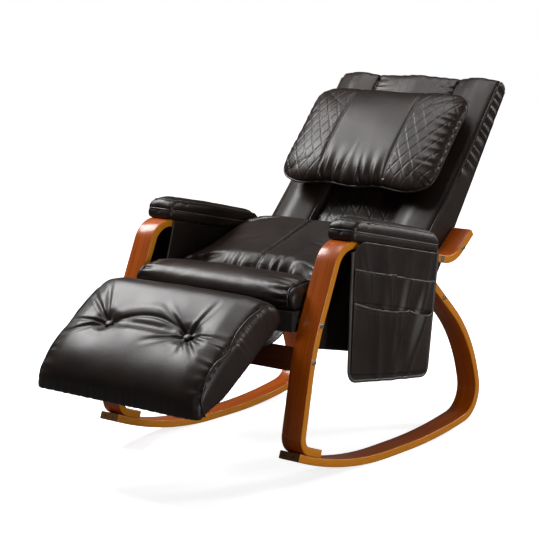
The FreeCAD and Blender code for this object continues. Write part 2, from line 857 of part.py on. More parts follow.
# Leather back cover: a tray that is open at the front and the foot
BACK_HALF = f"{INNER} - Sizes.back_side_gap"
foot_up, top_up, bend = -size.back_skirt, size.back_length, size.back_top_round
cover_front = [Vector(up, back_depth(up), 0) for up in (top_up, top_up / 2, foot_up)]
bend_middle = Vector(top_up - bend + bend * sin(radians(45)), bend - bend * cos(radians(45)), 0)
tray_outline = [
    Part.LineSegment(Vector(foot_up, 0, 0), Vector(top_up - bend, 0, 0)),
    Part.Arc(Vector(top_up - bend, 0, 0), bend_middle, Vector(top_up, bend, 0)),
    Part.LineSegment(Vector(top_up, bend, 0), cover_front[0]),
    Part.Arc(*cover_front),
    Part.LineSegment(cover_front[2], Vector(foot_up, 0, 0)),
]
room_top = top_up - size.back_wall
room_corners = [
    Vector(2 * foot_up, size.back_wall, 0),
    Vector(room_top, size.back_wall, 0),
    Vector(room_top, 2 * size.back_depth_low, 0),
    Vector(2 * foot_up, 2 * size.back_depth_low, 0),
]
tray = padded_outline(
    "back_cover_outside",
    tray_outline,
    f"2 * ({BACK_HALF})",
    f"-({BACK_HALF})",
    placement=back_place,
)
room = padded_outline(
    "back_cover_room",
    straight_outline(room_corners),
    f"2 * ({BACK_HALF} - Sizes.back_wall)",
    f"Sizes.back_wall - ({BACK_HALF})",
    placement=back_place,
)
spacer_holes = cross_drill(
    "back_cover_spacer_holes",
    "Sizes.spacer_radius + Sizes.curl_spacer_play",
    f"2 * ({BACK_HALF})",
    side_point(curl_bolt, -back_half),
)
cut_from("back_cover", tray, [room, spacer_holes])

# Back upholstery
pad_floor = rail_top + size.soft_gap
bolster_out = back_half - size.back_wall - 2 * size.soft_gap
bolster_in = size.centre_half_width + size.soft_gap
bolster_low, bolster_high = size.back_end_set, size.back_length - size.back_wall - size.soft_gap
bolster_span = bolster_high - bolster_low
for side, sign in SIDES:
    x_low, x_high = sorted((sign * bolster_in, sign * bolster_out))
    bolster_stations = []
    for part, fullness in ALONG:
        up = bolster_low + part * bolster_span
        under = side_rail_top(up) + size.soft_gap
        shoulder = under + (back_depth(up) - under) * (0.5 + 0.5 * fullness)
        crown = shoulder + size.back_crown * fullness
        bolster_stations.append((up, x_low, x_high, under, shoulder, crown))
    shaped(f"{side}_back_bolster", long_pad(bolster_stations, size.back_edge_round), back_place)

centre = size.centre_half_width
row_height = (size.centre_top - bolster_low) / size.quilt_rows
stations = []
for step in range(2 * int(size.quilt_rows) + 1):
    up = bolster_low + step * row_height / 2
    shoulder = back_depth(up) - size.centre_recess - (0 if step % 2 else size.quilt_depth)
    under = back_depth(up) - size.centre_recess - size.centre_thickness
    stations.append((up, -centre, centre, under, shoulder, shoulder + size.centre_crown))
shaped("back_centre_panel", long_pad(stations, size.centre_round), back_place)

band_low = size.centre_top + size.soft_gap
band_span = bolster_high - band_low
stations = []
for part, fullness in ALONG:
    up = band_low + part * band_span
    shoulder = pad_floor + (back_depth(up) - pad_floor) * fullness
    stations.append((up, -centre, centre, pad_floor, shoulder, shoulder + size.band_crown * fullness))
shaped("back_top_band", long_pad(stations, size.band_round), back_place)


# Head pillow: its flat underside bridges the bolsters' crowns over the whole travel
def rounded_crown(station):
    """Height of a long pad's crown at a station, after its corner is rounded off."""
    along, x_low, x_high, under, shoulder, crown = station
    half, rise = (x_high - x_low) / 2, crown - shoulder
    return crown - (sqrt(half * half + rise * rise) - half)


def ridge_height(stations, up):
    """Height of a long pad's crown at a place along it, straight between its stations."""
    for first, last in zip(stations, stations[1:]):
        if up <= last[0]:
            break
    share = (up - first[0]) / (last[0] - first[0])
    return rounded_crown(first) * (1 - share) + rounded_crown(last) * share


pillow_reach = size.pillow_length + size.pillow_travel
pillow_foot = ridge_height(bolster_stations, size.pillow_low) + size.soft_gap
pillow_head = ridge_height(bolster_stations, size.pillow_low + pillow_reach) + size.soft_gap
pillow_slope = degrees(atan2(pillow_foot - pillow_head, pillow_reach))
pillow_place = back_place.multiply(
    Placement(Vector(0, size.pillow_low, pillow_foot), Rotation(ABOUT_X, -pillow_slope))
)
PILLOW_TOP = [(1, 0), (0.72, 0.72), (0.50, 0.90), (0.46, 0.80), (0.42, 0.94), (0, 1)]
pillow_top = PILLOW_TOP + [(-across, lift) for across, lift in reversed(PILLOW_TOP[:-1])]
stations = []
for part, fullness in ALONG:
    half = pillow_half * (0.9 + 0.1 * fullness)
    shoulder = size.pillow_height * fullness
    crown = shoulder + size.pillow_crown * fullness
    stations.append((part * size.pillow_length, -half, half, 0, shoulder, crown))
shaped("head_pillow", long_pad(stations, size.pillow_round, pillow_top), pillow_place)

# Massage works behind the centre panel
plate_low = size.plate_lap
plate_high = size.back_mid_rail + size.plate_lap
plate = Part.makeBox(
    2 * size.plate_half_width,
    plate_high - plate_low,
    size.plate_thickness,
    Vector(-size.plate_half_width, plate_low, rail_top),
)
gear_z = rail_floor + size.gearbox_back_gap
gearbox = Part.makeBox(
    2 * size.gearbox_half_width,
    2 * size.gearbox_half_height,
    rail_top - gear_z,
    Vector(-size.gearbox_half_width, size.rotor_up_back - size.gearbox_half_height, gear_z),
)
rotor_z = rail_top + size.plate_thickness + size.rotor_gap
shaft_hole = size.rotor_shaft_radius + size.rotor_shaft_play
for side, sign in SIDES:
    spot = Vector(sign * size.rotor_spacing / 2, size.rotor_up_back, 0)
    seat_z = rail_top - size.rotor_shaft_seat
    bore = Part.makeCylinder(shaft_hole, rotor_z - seat_z, spot + Vector(0, 0, seat_z))
    plate = plate.cut(bore)
    gearbox = gearbox.cut(bore)
    shaft = Part.makeCylinder(
        size.rotor_shaft_radius, rotor_z - seat_z, spot + Vector(0, 0, seat_z + size.rotor_gap)
    )
    disc = Part.makeCylinder(size.rotor_radius, size.rotor_thickness, spot + Vector(0, 0, rotor_z))
    shaped(f"{side}_kneading_rotor", disc.fuse(shaft).removeSplitter(), back_place)
    domes = []
    for end in (1, -1):
        foot = spot + Vector(0, end * size.dome_offset, rotor_z + size.rotor_thickness)
        rings = []
        for radius, rise in ((size.dome_radius, 0), (size.dome_top_radius, size.dome_height)):
            rim = [foot + ahead(turn) * radius + Vector(0, 0, rise) for turn in range(0, 361, 30)]
            rings.append(Part.makePolygon(rim))
        domes.append(loft(rings))
    shaped(f"{side}_kneading_domes", Part.Compound(domes), back_place)
shaped("massage_plate", plate, back_place)
shaped("massage_gearbox", gearbox, back_place)
motor_y = size.rotor_up_back + size.massage_motor_up
motor_z = rail_top - size.massage_motor_radius
half_motor = size.massage_motor_length / 2
shaped(
    "massage_motor",
    cylinder_x(size.massage_motor_radius, -half_motor, half_motor, motor_y, motor_z),
    back_place,
)

# Vibration motors and control box under the seat board
shakers = []
for sign in (1, -1):
    foot = Vector(sign * size.vibrator_spacing / 2, size.vibrator_back, half_rail - size.vibrator_height)
    shakers.append(Part.makeCylinder(size.vibrator_radius, size.vibrator_height, foot))
shaped("vibration_motors", Part.Compound(shakers), seat_place)
control_z = half_rail - size.control_height
nodes.append(
    plain_box(
        "control_box",
        ("Sizes.control_width", "Sizes.control_depth", "Sizes.control_height"),
        inside(seat_place, -size.control_width / 2, size.control_back, control_z),
    )
)
inlet_foot = Vector(0, size.control_back + size.control_depth / 2, control_z - size.inlet_length)
inlet = Part.makeCylinder(size.inlet_radius, size.inlet_length, inlet_foot)
socket = Part.makeCylinder(size.inlet_radius / 2, size.inlet_depth, inlet_foot)
shaped("power_inlet", inlet.cut(socket), seat_place)

# Arm pads, clips and pouches
pad_middle = half_frame - size.ply_width / 2
pad_edge = pad_middle + size.pad_width / 2
for side, sign in SIDES:
    x_low, x_high = sorted((sign * (pad_middle - size.pad_width / 2), sign * pad_edge))
    stations = []
    for part, fullness in ALONG:
        shoulder = size.soft_gap + size.pad_height * fullness
        crown = shoulder + size.pad_crown * fullness
        along = part * size.pad_length - size.pad_front
        stations.append((along, x_low, x_high, size.soft_gap, shoulder, crown))
    shaped(f"{side}_arm_pad", long_pad(stations, size.pad_round), arm_place)

clips = []
for sign in (1, -1):
    start_x = half_frame if sign > 0 else -half_frame - size.clip_thickness
    corner = Vector(start_x, size.arm_run - size.clip_back, -size.ply_thickness + size.ply_edge)
    height = size.ply_thickness - 2 * size.ply_edge
    clips.append(Part.makeBox(size.clip_thickness, size.clip_length, height, corner))
shaped("arm_clips", Part.Compound(clips), arm_place)

pouch_lift = right_of(-size.arm_slope) * -size.pouch_overlap
pouch_front_top = arm_start - arm_along * size.pouch_front + pouch_lift
pouch_rear_top = pouch_front_top + arm_along * size.pouch_length
front_fall = ahead(-90 - size.pouch_front_lean)
rear_fall = ahead(-90 - size.pouch_rear_lean)


def on_pouch(across, drop):
    """Point of the pouch, from its front edge (0) to its rear edge (1), a drop below its top edge."""
    front_point = pouch_front_top + front_fall * drop
    rear_point = pouch_rear_top + rear_fall * drop
    return front_point * (1 - across) + rear_point * across


panel_corners = [
    pouch_front_top,
    pouch_front_top + front_fall * size.pouch_front_drop,
    pouch_rear_top + rear_fall * size.pouch_rear_drop,
    pouch_rear_top,
]
panel_x = pad_edge + size.soft_gap
panel_out = panel_x + size.pouch_thickness
flat_corners = [(corner.x, corner.y) for corner in panel_corners]
panel_rounds = [size.pouch_top_round, size.pouch_round, size.pouch_round, size.pouch_top_round]
panel = rounded_loop(flat_corners, panel_rounds, lambda u, v: Vector(panel_x, u, v))
panel = Part.Face(panel).extrude(Vector(size.pouch_thickness, 0, 0))


def pocket_prism(margin_front, margin_rear, mouth, foot, thickness):
    """Solid between two cross lines of the pouch, standing out from the panel."""
    corners = [
        on_pouch(margin_front, mouth),
        on_pouch(margin_front, foot),
        on_pouch(1 - margin_rear, foot),
        on_pouch(1 - margin_rear, mouth),
    ]
    ring = [side_point(corner, panel_out) for corner in corners]
    return Part.Face(Part.makePolygon(ring + ring[:1])).extrude(Vector(thickness, 0, 0))


def pocket_row(mouth, foot, gap, dividers):
    """Row of pockets that are open at the top, with a divider at each place across the row."""
    edge = size.pocket_margin
    wall = size.pocket_wall / size.pouch_length
    row = pocket_prism(edge, edge, mouth, foot, gap + size.pocket_wall)
    stops = [edge] + dividers + [1 - edge]
    for first, last in zip(stops, stops[1:]):
        top, floor = mouth - size.pocket_wall, foot - size.pocket_wall
        room = pocket_prism(first + wall, 1 - last + wall, top, floor, gap)
        row = row.cut(room)
    return row


upper = pocket_row(size.upper_pocket_mouth, size.upper_pocket_foot, size.upper_pocket_gap, [])
lower_row = (size.lower_pocket_mouth, size.lower_pocket_foot, size.lower_pocket_gap)
lower = pocket_row(*lower_row, [size.lower_divider])
for side, sign in SIDES:
    for name, shape in (("pouch_panel", panel), ("upper_pocket", upper), ("lower_pocket", lower)):
        shaped(f"{side}_{name}", shape if sign > 0 else mirrored(shape))

# Footrest
board_rear = size.foot_rear + size.foot_board_inset
nodes.append(
    plain_box(
        "footrest_board",
        (
            f"2 * ({INNER} - Sizes.foot_side_gap - Sizes.foot_board_inset)",
            "Sizes.foot_board_length",
            "Sizes.foot_board_thickness",
        ),
        inside(
            foot_place,
            size.foot_board_inset - foot_half,
            -board_rear - size.foot_board_length,
            size.foot_board_lift,
        ),
    )
)
foot_floor = size.foot_board_lift + size.foot_board_thickness + size.soft_gap
foot_top = foot_floor + size.foot_pad_height
foot_back = -size.foot_rear
foot_front = foot_back - size.foot_length
nose_low, nose_high = foot_floor + size.foot_nose_rise, foot_floor + 0.72 * size.foot_pad_height
foot_corners = [
    (foot_front + size.foot_nose_length, foot_floor, size.foot_belly_round),
    (foot_back - size.seat_tuck, foot_floor, size.seat_tuck),
    (foot_back, foot_floor + 0.4 * size.foot_pad_height, size.foot_rear_round),
    (foot_back - size.foot_shoulder, foot_top, size.foot_rear_round),
    ((foot_front + foot_back) / 2, foot_top + size.foot_crown, size.foot_top_round),
    (foot_front + size.foot_shoulder, foot_top, size.foot_shoulder),
    (foot_front, nose_high, size.foot_nose_round),
    (foot_front + size.foot_nose_round, nose_low, size.foot_nose_round),
]
foot_pad = cushion(foot_corners, foot_half, drawn=0.12)
hollow_inset = size.foot_board_inset + size.foot_hollow_inset
hollow = Part.makeBox(
    2 * (foot_half - hollow_inset),
    size.foot_board_length - 2 * size.foot_hollow_inset,
    size.foot_hollow_height,
    Vector(
        hollow_inset - foot_half,
        size.foot_hollow_inset - board_rear - size.foot_board_length,
        foot_floor,
    ),
)
foot_pad = foot_pad.cut(hollow)
tuft_y = foot_back - size.tuft_from_rear
tuft_top = foot_top + size.foot_crown
tuft_floor = tuft_top - size.tuft_depth
buttons = []
for sign in (1, -1):
    foot = Vector(sign * size.tuft_spacing / 2, tuft_y, tuft_floor)
    dimple = Part.makeCone(size.tuft_floor_radius, size.tuft_radius, size.tuft_depth, foot)
    foot_pad = foot_pad.cut(dimple)
    button = Part.makeCylinder(size.button_radius, size.button_height, foot + Vector(0, 0, size.soft_gap))
    rim = [edge for edge in button.Edges if edge.BoundBox.ZMin > foot.z + size.button_height / 2]
    buttons.append(button.makeChamfer(size.button_height / 2, rim))
half_channel = size.tuft_channel_width / 2
channel_floor = tuft_top - size.tuft_channel_depth
wedge = [
    Vector(-size.tuft_spacing / 2, tuft_y - half_channel, tuft_top),
    Vector(-size.tuft_spacing / 2, tuft_y, channel_floor),
    Vector(-size.tuft_spacing / 2, tuft_y + half_channel, tuft_top),
]
channel = Part.Face(Part.makePolygon(wedge + wedge[:1])).extrude(Vector(size.tuft_spacing, 0, 0))
shaped("footrest_pad", foot_pad.cut(channel), foot_place)
shaped("footrest_buttons", Part.Compound(buttons), foot_place)

# Footrest hinges
eye = size.hinge_eye_radius
half_lug = size.hinge_lug / 2
ear_in = half_lug + size.hinge_side_gap
ear_out = ear_in + size.hinge_ear
plate_y = -size.seat_rail_overhang - size.hinge_plate
pivot_y, pivot_z = -size.foot_pivot_forward, size.foot_pivot_rise
pin_hole = size.hinge_pin_radius + size.hinge_play
leaf_z = size.foot_board_lift - size.hinge_plate
seat_brackets, pad_brackets, pins = [], [], []
for sign in (1, -1):
    middle = sign * size.hinge_spacing / 2
    half_plate = size.hinge_plate_width / 2
    bracket = Part.makeBox(
        size.hinge_plate_width,
        size.hinge_plate,
        size.seat_rail_height,
        Vector(middle - half_plate, plate_y, -half_rail),
    )
    for x_from in (middle + ear_in, middle - ear_out):
        ear = cylinder_x(eye, x_from, x_from + size.hinge_ear, pivot_y, pivot_z)
        web_corner = Vector(x_from, pivot_y, pivot_z - eye)
        web = Part.makeBox(size.hinge_ear, plate_y - pivot_y, 2 * eye, web_corner)
        bracket = bracket.fuse([ear, web])
    pin_way = cylinder_x(pin_hole, middle - ear_out, middle + ear_out, pivot_y, pivot_z)
    seat_brackets.append(bracket.removeSplitter().cut(pin_way))
    leaf = Part.makeBox(
        size.hinge_plate_width,
        size.hinge_leaf_length,
        size.hinge_plate,
        Vector(middle - half_plate, -size.hinge_leaf_set - size.hinge_leaf_length, leaf_z),
    )
    lug = cylinder_x(eye, middle - half_lug, middle + half_lug, 0, 0)
    web = Part.makeBox(
        size.hinge_lug,
        size.hinge_leaf_set + eye,
        size.foot_board_lift + eye / 2,
        Vector(middle - half_lug, -size.hinge_leaf_set - eye, -eye / 2),
    )
    leaf = leaf.fuse([lug, web]).removeSplitter()
    pad_brackets.append(leaf.cut(cylinder_x(pin_hole, middle - half_lug, middle + half_lug, 0, 0)))
    pin = cylinder_x(size.hinge_pin_radius, middle - ear_out, middle + ear_out, pivot_y, pivot_z)
    for x_from in (middle + ear_out, middle - ear_out - size.hinge_plate):
        pin = pin.fuse(cylinder_x(size.hinge_head, x_from, x_from + size.hinge_plate, pivot_y, pivot_z))
    pins.append(pin.removeSplitter())
shaped("hinge_seat_brackets", Part.Compound(seat_brackets), seat_place)
shaped("hinge_pad_brackets", Part.Compound(pad_brackets), foot_place)
shaped("hinge_pins", Part.Compound(pins), seat_place)

gusset_first = foot_place.multVec(Vector(0, -size.gusset_lap, size.foot_board_lift - size.soft_gap))
gusset_last = seat_place.multVec(Vector(0, -size.seat_rail_overhang, -half_rail - size.soft_gap))
shaped(
    "hinge_gusset",
    sagging_sheet(
        gusset_first, gusset_last, size.gusset_sag, size.gusset_thickness, foot_half - size.foot_board_inset
    ),
)

# Checks before anything is written
doc.recompute()
for item in doc.Objects:
    if "Invalid" in item.State or "Error" in item.State:
        raise RuntimeError(f"{item.Label} did not build")
for node in nodes:
    if node.Shape.isNull() or not node.Shape.isValid():
        raise RuntimeError(f"{node.Label} has no valid shape")

os.makedirs("parts", exist_ok=True)
for node in nodes:
    node.Shape.exportStep(f"parts/{node.Label}.step")
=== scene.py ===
"""Looks of the massage rocking chair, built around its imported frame. Lengths are metres, angles degrees."""
from math import asin, ceil, cos, degrees, pi, radians, sin

import bmesh
import bpy
import numpy as np
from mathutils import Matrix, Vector, noise
from mathutils.bvhtree import BVHTree


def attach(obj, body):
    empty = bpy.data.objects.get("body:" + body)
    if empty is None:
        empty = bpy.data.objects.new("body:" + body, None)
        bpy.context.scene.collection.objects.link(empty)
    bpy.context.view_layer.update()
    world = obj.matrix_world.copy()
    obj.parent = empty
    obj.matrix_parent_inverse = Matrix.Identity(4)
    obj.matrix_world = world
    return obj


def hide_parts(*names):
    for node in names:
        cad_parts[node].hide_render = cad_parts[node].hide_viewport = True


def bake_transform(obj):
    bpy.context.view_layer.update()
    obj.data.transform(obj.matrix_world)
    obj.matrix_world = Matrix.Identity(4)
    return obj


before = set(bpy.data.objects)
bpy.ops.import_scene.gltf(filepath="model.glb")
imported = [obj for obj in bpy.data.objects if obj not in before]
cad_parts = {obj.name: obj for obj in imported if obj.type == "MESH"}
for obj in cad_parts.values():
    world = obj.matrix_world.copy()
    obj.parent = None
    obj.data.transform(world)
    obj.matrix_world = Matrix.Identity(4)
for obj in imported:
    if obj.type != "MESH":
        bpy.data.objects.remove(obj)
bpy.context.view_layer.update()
scene = bpy.context.scene
SIDES = (("left", 1), ("right", -1))


class Place:
    """Local frame of a part of the chair: an origin in the side plane and a tilt about the cross axis."""

    def __init__(self, y, z, tilt):
        self.origin = np.array([0.0, y, z])
        turn = radians(tilt)
        self.axes = np.array([[1, 0, 0], [0, cos(turn), sin(turn)], [0, -sin(turn), cos(turn)]])

    def world(self, points):
        return np.asarray(points, float) @ self.axes + self.origin

    def local(self, points):
        return (np.asarray(points, float) - self.origin) @ self.axes.T


ARM_SLOPE = 12.2
SEAT = Place(-0.249414, 0.384235, -0.997)
BACK = Place(0.313, 0.400, 55)
FOOT = Place(-0.309248, 0.394278, 36)
ARM = Place(-0.112802, 0.569386, -ARM_SLOPE)
PILLOW = Place(0.35345, 0.62194, 48.936)


# Mesh tools

WELD = 1e-5
TINY = 1e-12
STITCH_PITCH, STITCH_LENGTH, STITCH_THICK = 0.007, 0.0042, 0.0006
GATHER_DRIFT, GATHER_STRENGTH, GATHER_LENGTH = (-0.35, 0.35), (0.25, 1.0), (0.45, 1.25)


def new_piece(name, data):
    piece = bpy.data.objects.new(name, data)
    scene.collection.objects.link(piece)
    return piece


def shade_smooth(mesh):
    mesh.polygons.foreach_set("use_smooth", [True] * len(mesh.polygons))


def mesh_piece(name, points, faces):
    mesh = bpy.data.meshes.new(name)
    mesh.from_pydata([tuple(map(float, point)) for point in points], [], faces)
    mesh.validate()
    mesh.update()
    shade_smooth(mesh)
    return new_piece(name, mesh)


def bake(piece):
    """Turns the piece's modifiers into plain mesh."""
    bpy.context.view_layer.update()
    depsgraph = bpy.context.evaluated_depsgraph_get()
    mesh = bpy.data.meshes.new_from_object(piece.evaluated_get(depsgraph))
    piece.modifiers.clear()
    piece.data = mesh
    shade_smooth(mesh)
    return piece


def modify(piece, kind, **settings):
    modifier = piece.modifiers.new(kind.lower(), kind)
    for key, value in settings.items():
        setattr(modifier, key, value)
    return bake(piece)


def point_vectors(piece, name):
    flat = np.empty(3 * len(piece.data.vertices))
    piece.data.vertices.foreach_get(name, flat)
    return flat.reshape(-1, 3)


def coords(piece):
    return point_vectors(piece, "co")


def normals(piece):
    return point_vectors(piece, "normal")


def set_coords(piece, points):
    piece.data.vertices.foreach_set("co", np.asarray(points, float).ravel())
    piece.data.update()


def soft_copy(name, node, voxel, smoothing):
    """Evenly meshed, smoothed copy of a soft node."""
    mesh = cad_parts[node].data.copy()
    work = bmesh.new()
    work.from_mesh(mesh)
    bmesh.ops.remove_doubles(work, verts=work.verts, dist=WELD)
    work.to_mesh(mesh)
    work.free()
    piece = new_piece(name, mesh)
    modify(piece, "REMESH", mode="VOXEL", voxel_size=voxel)
    return modify(piece, "SMOOTH", factor=0.5, iterations=smoothing)


def subdivided(piece):
    return modify(piece, "SUBSURF", levels=1, render_levels=1)


def surface_of(piece):
    mesh = piece.data
    return BVHTree.FromPolygons([v.co for v in mesh.vertices], [p.vertices for p in mesh.polygons])


def unit(vector):
    return vector / (np.linalg.norm(vector) + TINY)


def bell(distance, width):
    """Smooth share that is 1 in the middle and dies out over a width."""
    return np.exp(-((distance / width) ** 2))


def facing(toward, low=0.1, high=0.6):
    """Share that rises from 0 at a low value to 1 at a high one."""
    return np.clip((toward - low) / (high - low), 0, 1)


def resampled(points, step, closed=False):
    points = np.asarray(points, float)
    if closed:
        points = np.vstack([points, points[:1]])
    lengths = np.r_[0, np.cumsum(np.linalg.norm(np.diff(points, axis=0), axis=1))]
    count = max(2, int(ceil(lengths[-1] / step)) + 1)
    along = np.linspace(0, lengths[-1], count)
    made = np.stack([np.interp(along, lengths, points[:, axis]) for axis in range(3)], 1)
    return made[:-1] if closed else made


def relaxed(points, rounds, closed=False):
    """Points with their corners eased by averaging neighbours."""
    points = np.asarray(points, float).copy()
    for _ in range(rounds):
        before = np.roll(points, 1, 0)
        after = np.roll(points, -1, 0)
        eased = (before + 2 * points + after) / 4
        if not closed:
            eased[0], eased[-1] = points[0], points[-1]
        points = eased
    return points


def loft_faces(rows, sides, closed=False):
    """Quads between rings of points that follow one another."""
    faces = []
    for row in range(rows if closed else rows - 1):
        low, high = row * sides, (row + 1) % rows * sides
        for corner in range(sides):
            beside = (corner + 1) % sides
            faces.append((low + corner, low + beside, high + beside, high + corner))
    return faces


def grid_faces(rows, columns):
    faces = []
    for row in range(rows - 1):
        for column in range(columns - 1):
            first = row * columns + column
            faces.append((first, first + 1, first + columns + 1, first + columns))
    return faces


def tube(name, points, radius, closed=False, sides=8, flat=1.0):
    """Round or flattened tube along a line, with a flat cap on each open end."""
    points = np.asarray(points, float)
    count = len(points)
    if closed:
        tangents = np.roll(points, -1, 0) - np.roll(points, 1, 0)
    else:
        tangents = np.gradient(points, axis=0)
    made = []
    side = None
    for point, tangent in zip(points, tangents):
        tangent = unit(tangent)
        if side is None:
            guide = (1, 0, 0) if abs(tangent[0]) < 0.9 else (0, 0, 1)
            side = np.cross(tangent, guide)
        side = side - tangent * (side @ tangent)
        side = side / np.linalg.norm(side)
        other = np.cross(tangent, side)
        for corner in range(sides):
            angle = 2 * pi * corner / sides
            made.append(point + radius * (cos(angle) * side + flat * sin(angle) * other))
    faces = loft_faces(count, sides, closed)
    if not closed:
        faces.append(tuple(reversed(range(sides))))
        faces.append(tuple(range((count - 1) * sides, count * sides)))
    return mesh_piece(name, made, faces)


def seated(surface, points, lift):
    """Points moved to the nearest place on a surface and lifted off it, with the normals there."""
    spots, outs = [], []
    for point in points:
        spot, out, _, _ = surface.find_nearest(Vector(point))
        spots.append(np.array(spot) + lift * np.array(out))
        outs.append(np.array(out))
    return np.array(spots), np.array(outs)


def stitches(name, surface, lines):
    """Rows of short threads that lie on a surface along lines."""
    points, faces = [], []
    for line in lines:
        spots, outs = seated(surface, resampled(line, STITCH_PITCH), STITCH_THICK * 0.6)
        ways = np.gradient(spots, axis=0)
        for spot, out, way in zip(spots[1:-1], outs[1:-1], ways[1:-1]):
            half = unit(way) * STITCH_LENGTH / 2
            across = np.cross(out, unit(way)) * STITCH_THICK
            up = out * STITCH_THICK
            base = len(points)
            points += [spot - half, spot + half, spot + across, spot - across, spot + up, spot - up]
            for end in (0, 1):
                for first, last in ((2, 4), (4, 3), (3, 5), (5, 2)):
                    corner = (base + end, base + first, base + last)
                    faces.append(corner if end else corner[::-1])
    return mesh_piece(name, points, faces)


def line_distance(points, line):
    """Distance of each point from a line, and how far along the line its nearest place is."""
    line = np.asarray(line, float)
    best = np.full(len(points), 1e9)
    where = np.zeros(len(points))
    run = 0.0
    for first, last in zip(line[:-1], line[1:]):
        step = last - first
        length = np.linalg.norm(step)
        share = np.clip((points - first) @ step / max(length * length, TINY), 0, 1)
        gap = np.linalg.norm(points - first - share[:, None] * step, axis=1)
        nearer = gap < best
        best[nearer] = gap[nearer]
        where[nearer] = (run + share * length)[nearer]
        run += length
    return best, where


def groove(points, line, depth, width):
    distance, _ = line_distance(points, line)
    return -depth * bell(distance, width)


def crease(points, start, end, depth, width):
    """A fold that is deep at its start and dies out at its end, with a low ridge on both sides."""
    distance, along = line_distance(points, np.linspace(start, end, 9))
    left = 1 - along / np.linalg.norm(np.asarray(end) - np.asarray(start))
    wide = width * (1.5 - left)
    return depth * left * (0.35 * bell(distance - 2 * wide, wide) - bell(distance, wide))


def gathers(points, line, height, spacing, reach, seed):
    """Short folds that run away from a seam and die out: some long, some short."""
    distance, along = line_distance(points, line)
    knots = np.arange(0, along.max() + spacing, spacing)
    rng = np.random.default_rng(seed)
    drift, strength, length = (
        np.interp(along, knots, rng.uniform(low, high, len(knots)))
        for low, high in (GATHER_DRIFT, GATHER_STRENGTH, GATHER_LENGTH)
    )
    wave = np.sin(2 * pi * (along / spacing + drift))
    return height * strength * wave * bell(distance, reach * length)


def mottled(points, height, scale, seed):
    """Smooth noise at each point, about as high as the height either way."""
    shift = Vector((seed, seed * 1.7, seed * 0.3))
    return height * np.array([noise.noise(Vector(point) * scale + shift) for point in points])


# Materials


class Nodes:
    """Adds nodes to a node tree that ends in a given node."""

    def __init__(self, tree, end):
        self.tree = tree
        self.end = tree.nodes[end]

    def add(self, kind, **settings):
        made = self.tree.nodes.new("ShaderNode" + kind)
        for key, value in settings.items():
            setattr(made, key, value)
        return made

    def feed(self, node, values):
        """Gives a node's inputs numbers, colours or links."""
        for name, value in values.items():
            socket = node.inputs[name]
            if isinstance(value, (int, float)):
                socket.default_value = value
            elif isinstance(value, tuple):
                socket.default_value = (*value, 1)
            else:
                self.tree.links.new(value, socket)

    def made(self, kind, output, values, **settings):
        """One output of a new node, whose inputs are fed."""
        node = self.add(kind, **settings)
        self.feed(node, values)
        return node.outputs[output]

    def spot(self, kind="Object"):
        return self.add("TexCoord").outputs[kind]

    def camera_ray(self):
        return self.add("LightPath").outputs["Is Camera Ray"]

    def axis(self, vector, name):
        return self.made("SeparateXYZ", name, {0: vector})

    def scaled(self, vector, scale):
        mapping = self.add("Mapping")
        mapping.inputs["Scale"].default_value = scale
        self.feed(mapping, {"Vector": vector})
        return mapping.outputs["Vector"]

    def noise(self, vector, scale, **values):
        return self.made("TexNoise", "Fac", {"Vector": vector, "Scale": scale, **values})

    def pebbles(self, vector, scale):
        return self.made("TexVoronoi", "Distance", {"Vector": vector, "Scale": scale})

    def ramp(self, factor, *stops):
        made = self.add("ValToRGB")
        elements = made.color_ramp.elements
        while len(elements) < len(stops):
            elements.new(0.5)
        for element, (place, colour) in zip(elements, stops):
            element.position = place
            element.color = (*colour, 1)
        self.feed(made, {"Fac": factor})
        return made.outputs["Color"]

    def math(self, operation, *values):
        return self.made("Math", 0, dict(enumerate(values)), operation=operation)

    def mix(self, factor, first, second):
        """A colour between two colours."""
        made = self.add("Mix", data_type="RGBA")
        colours = [index for index, socket in enumerate(made.inputs) if socket.type == "RGBA"]
        self.feed(made, {"Factor": factor, colours[0]: first, colours[1]: second})
        return next(socket for socket in made.outputs if socket.type == "RGBA")

    def stretch(self, value, source, target, **settings):
        """A value moved from one range to another."""
        limits = dict(zip(("From Min", "From Max", "To Min", "To Max"), (*source, *target)))
        return self.made("MapRange", "Result", {"Value": value, **limits}, **settings)

    def bump(self, height, strength, distance):
        values = {"Height": height, "Strength": strength, "Distance": distance}
        self.feed(self.end, {"Normal": self.made("Bump", "Normal", values)})


class Look(Nodes):
    """A new material and its nodes."""

    def __init__(self, name):
        self.material = bpy.data.materials.new(name)
        self.material.use_nodes = True
        super().__init__(self.material.node_tree, "Principled BSDF")

    def finished(self, values):
        self.feed(self.end, values)
        return self.material


def grey(level):
    return (level, level, level)


PLY_LAYER = 0.0032
END_GRAIN = (0.16, 0.07, 0.018)


def leather(name, dark, light, rough):
    """Grained leather: pebbles a millimetre or two across, soft colour drift and a satin gloss."""
    look = Look(name)
    spot = look.spot()
    drift = look.noise(spot, 9, Detail=4)
    fine = look.noise(spot, 900, Detail=3)
    patchy = look.noise(spot, 26, Detail=5)
    look.bump(look.math("ADD", look.pebbles(spot, 620), look.math("MULTIPLY", fine, 0.5)), 0.22, 0.0006)
    return look.finished({
        "Base Color": look.ramp(drift, (0.35, dark), (0.68, light)),
        "Roughness": look.stretch(patchy, (0, 1), rough),
        "Specular IOR Level": 0.37,
    })


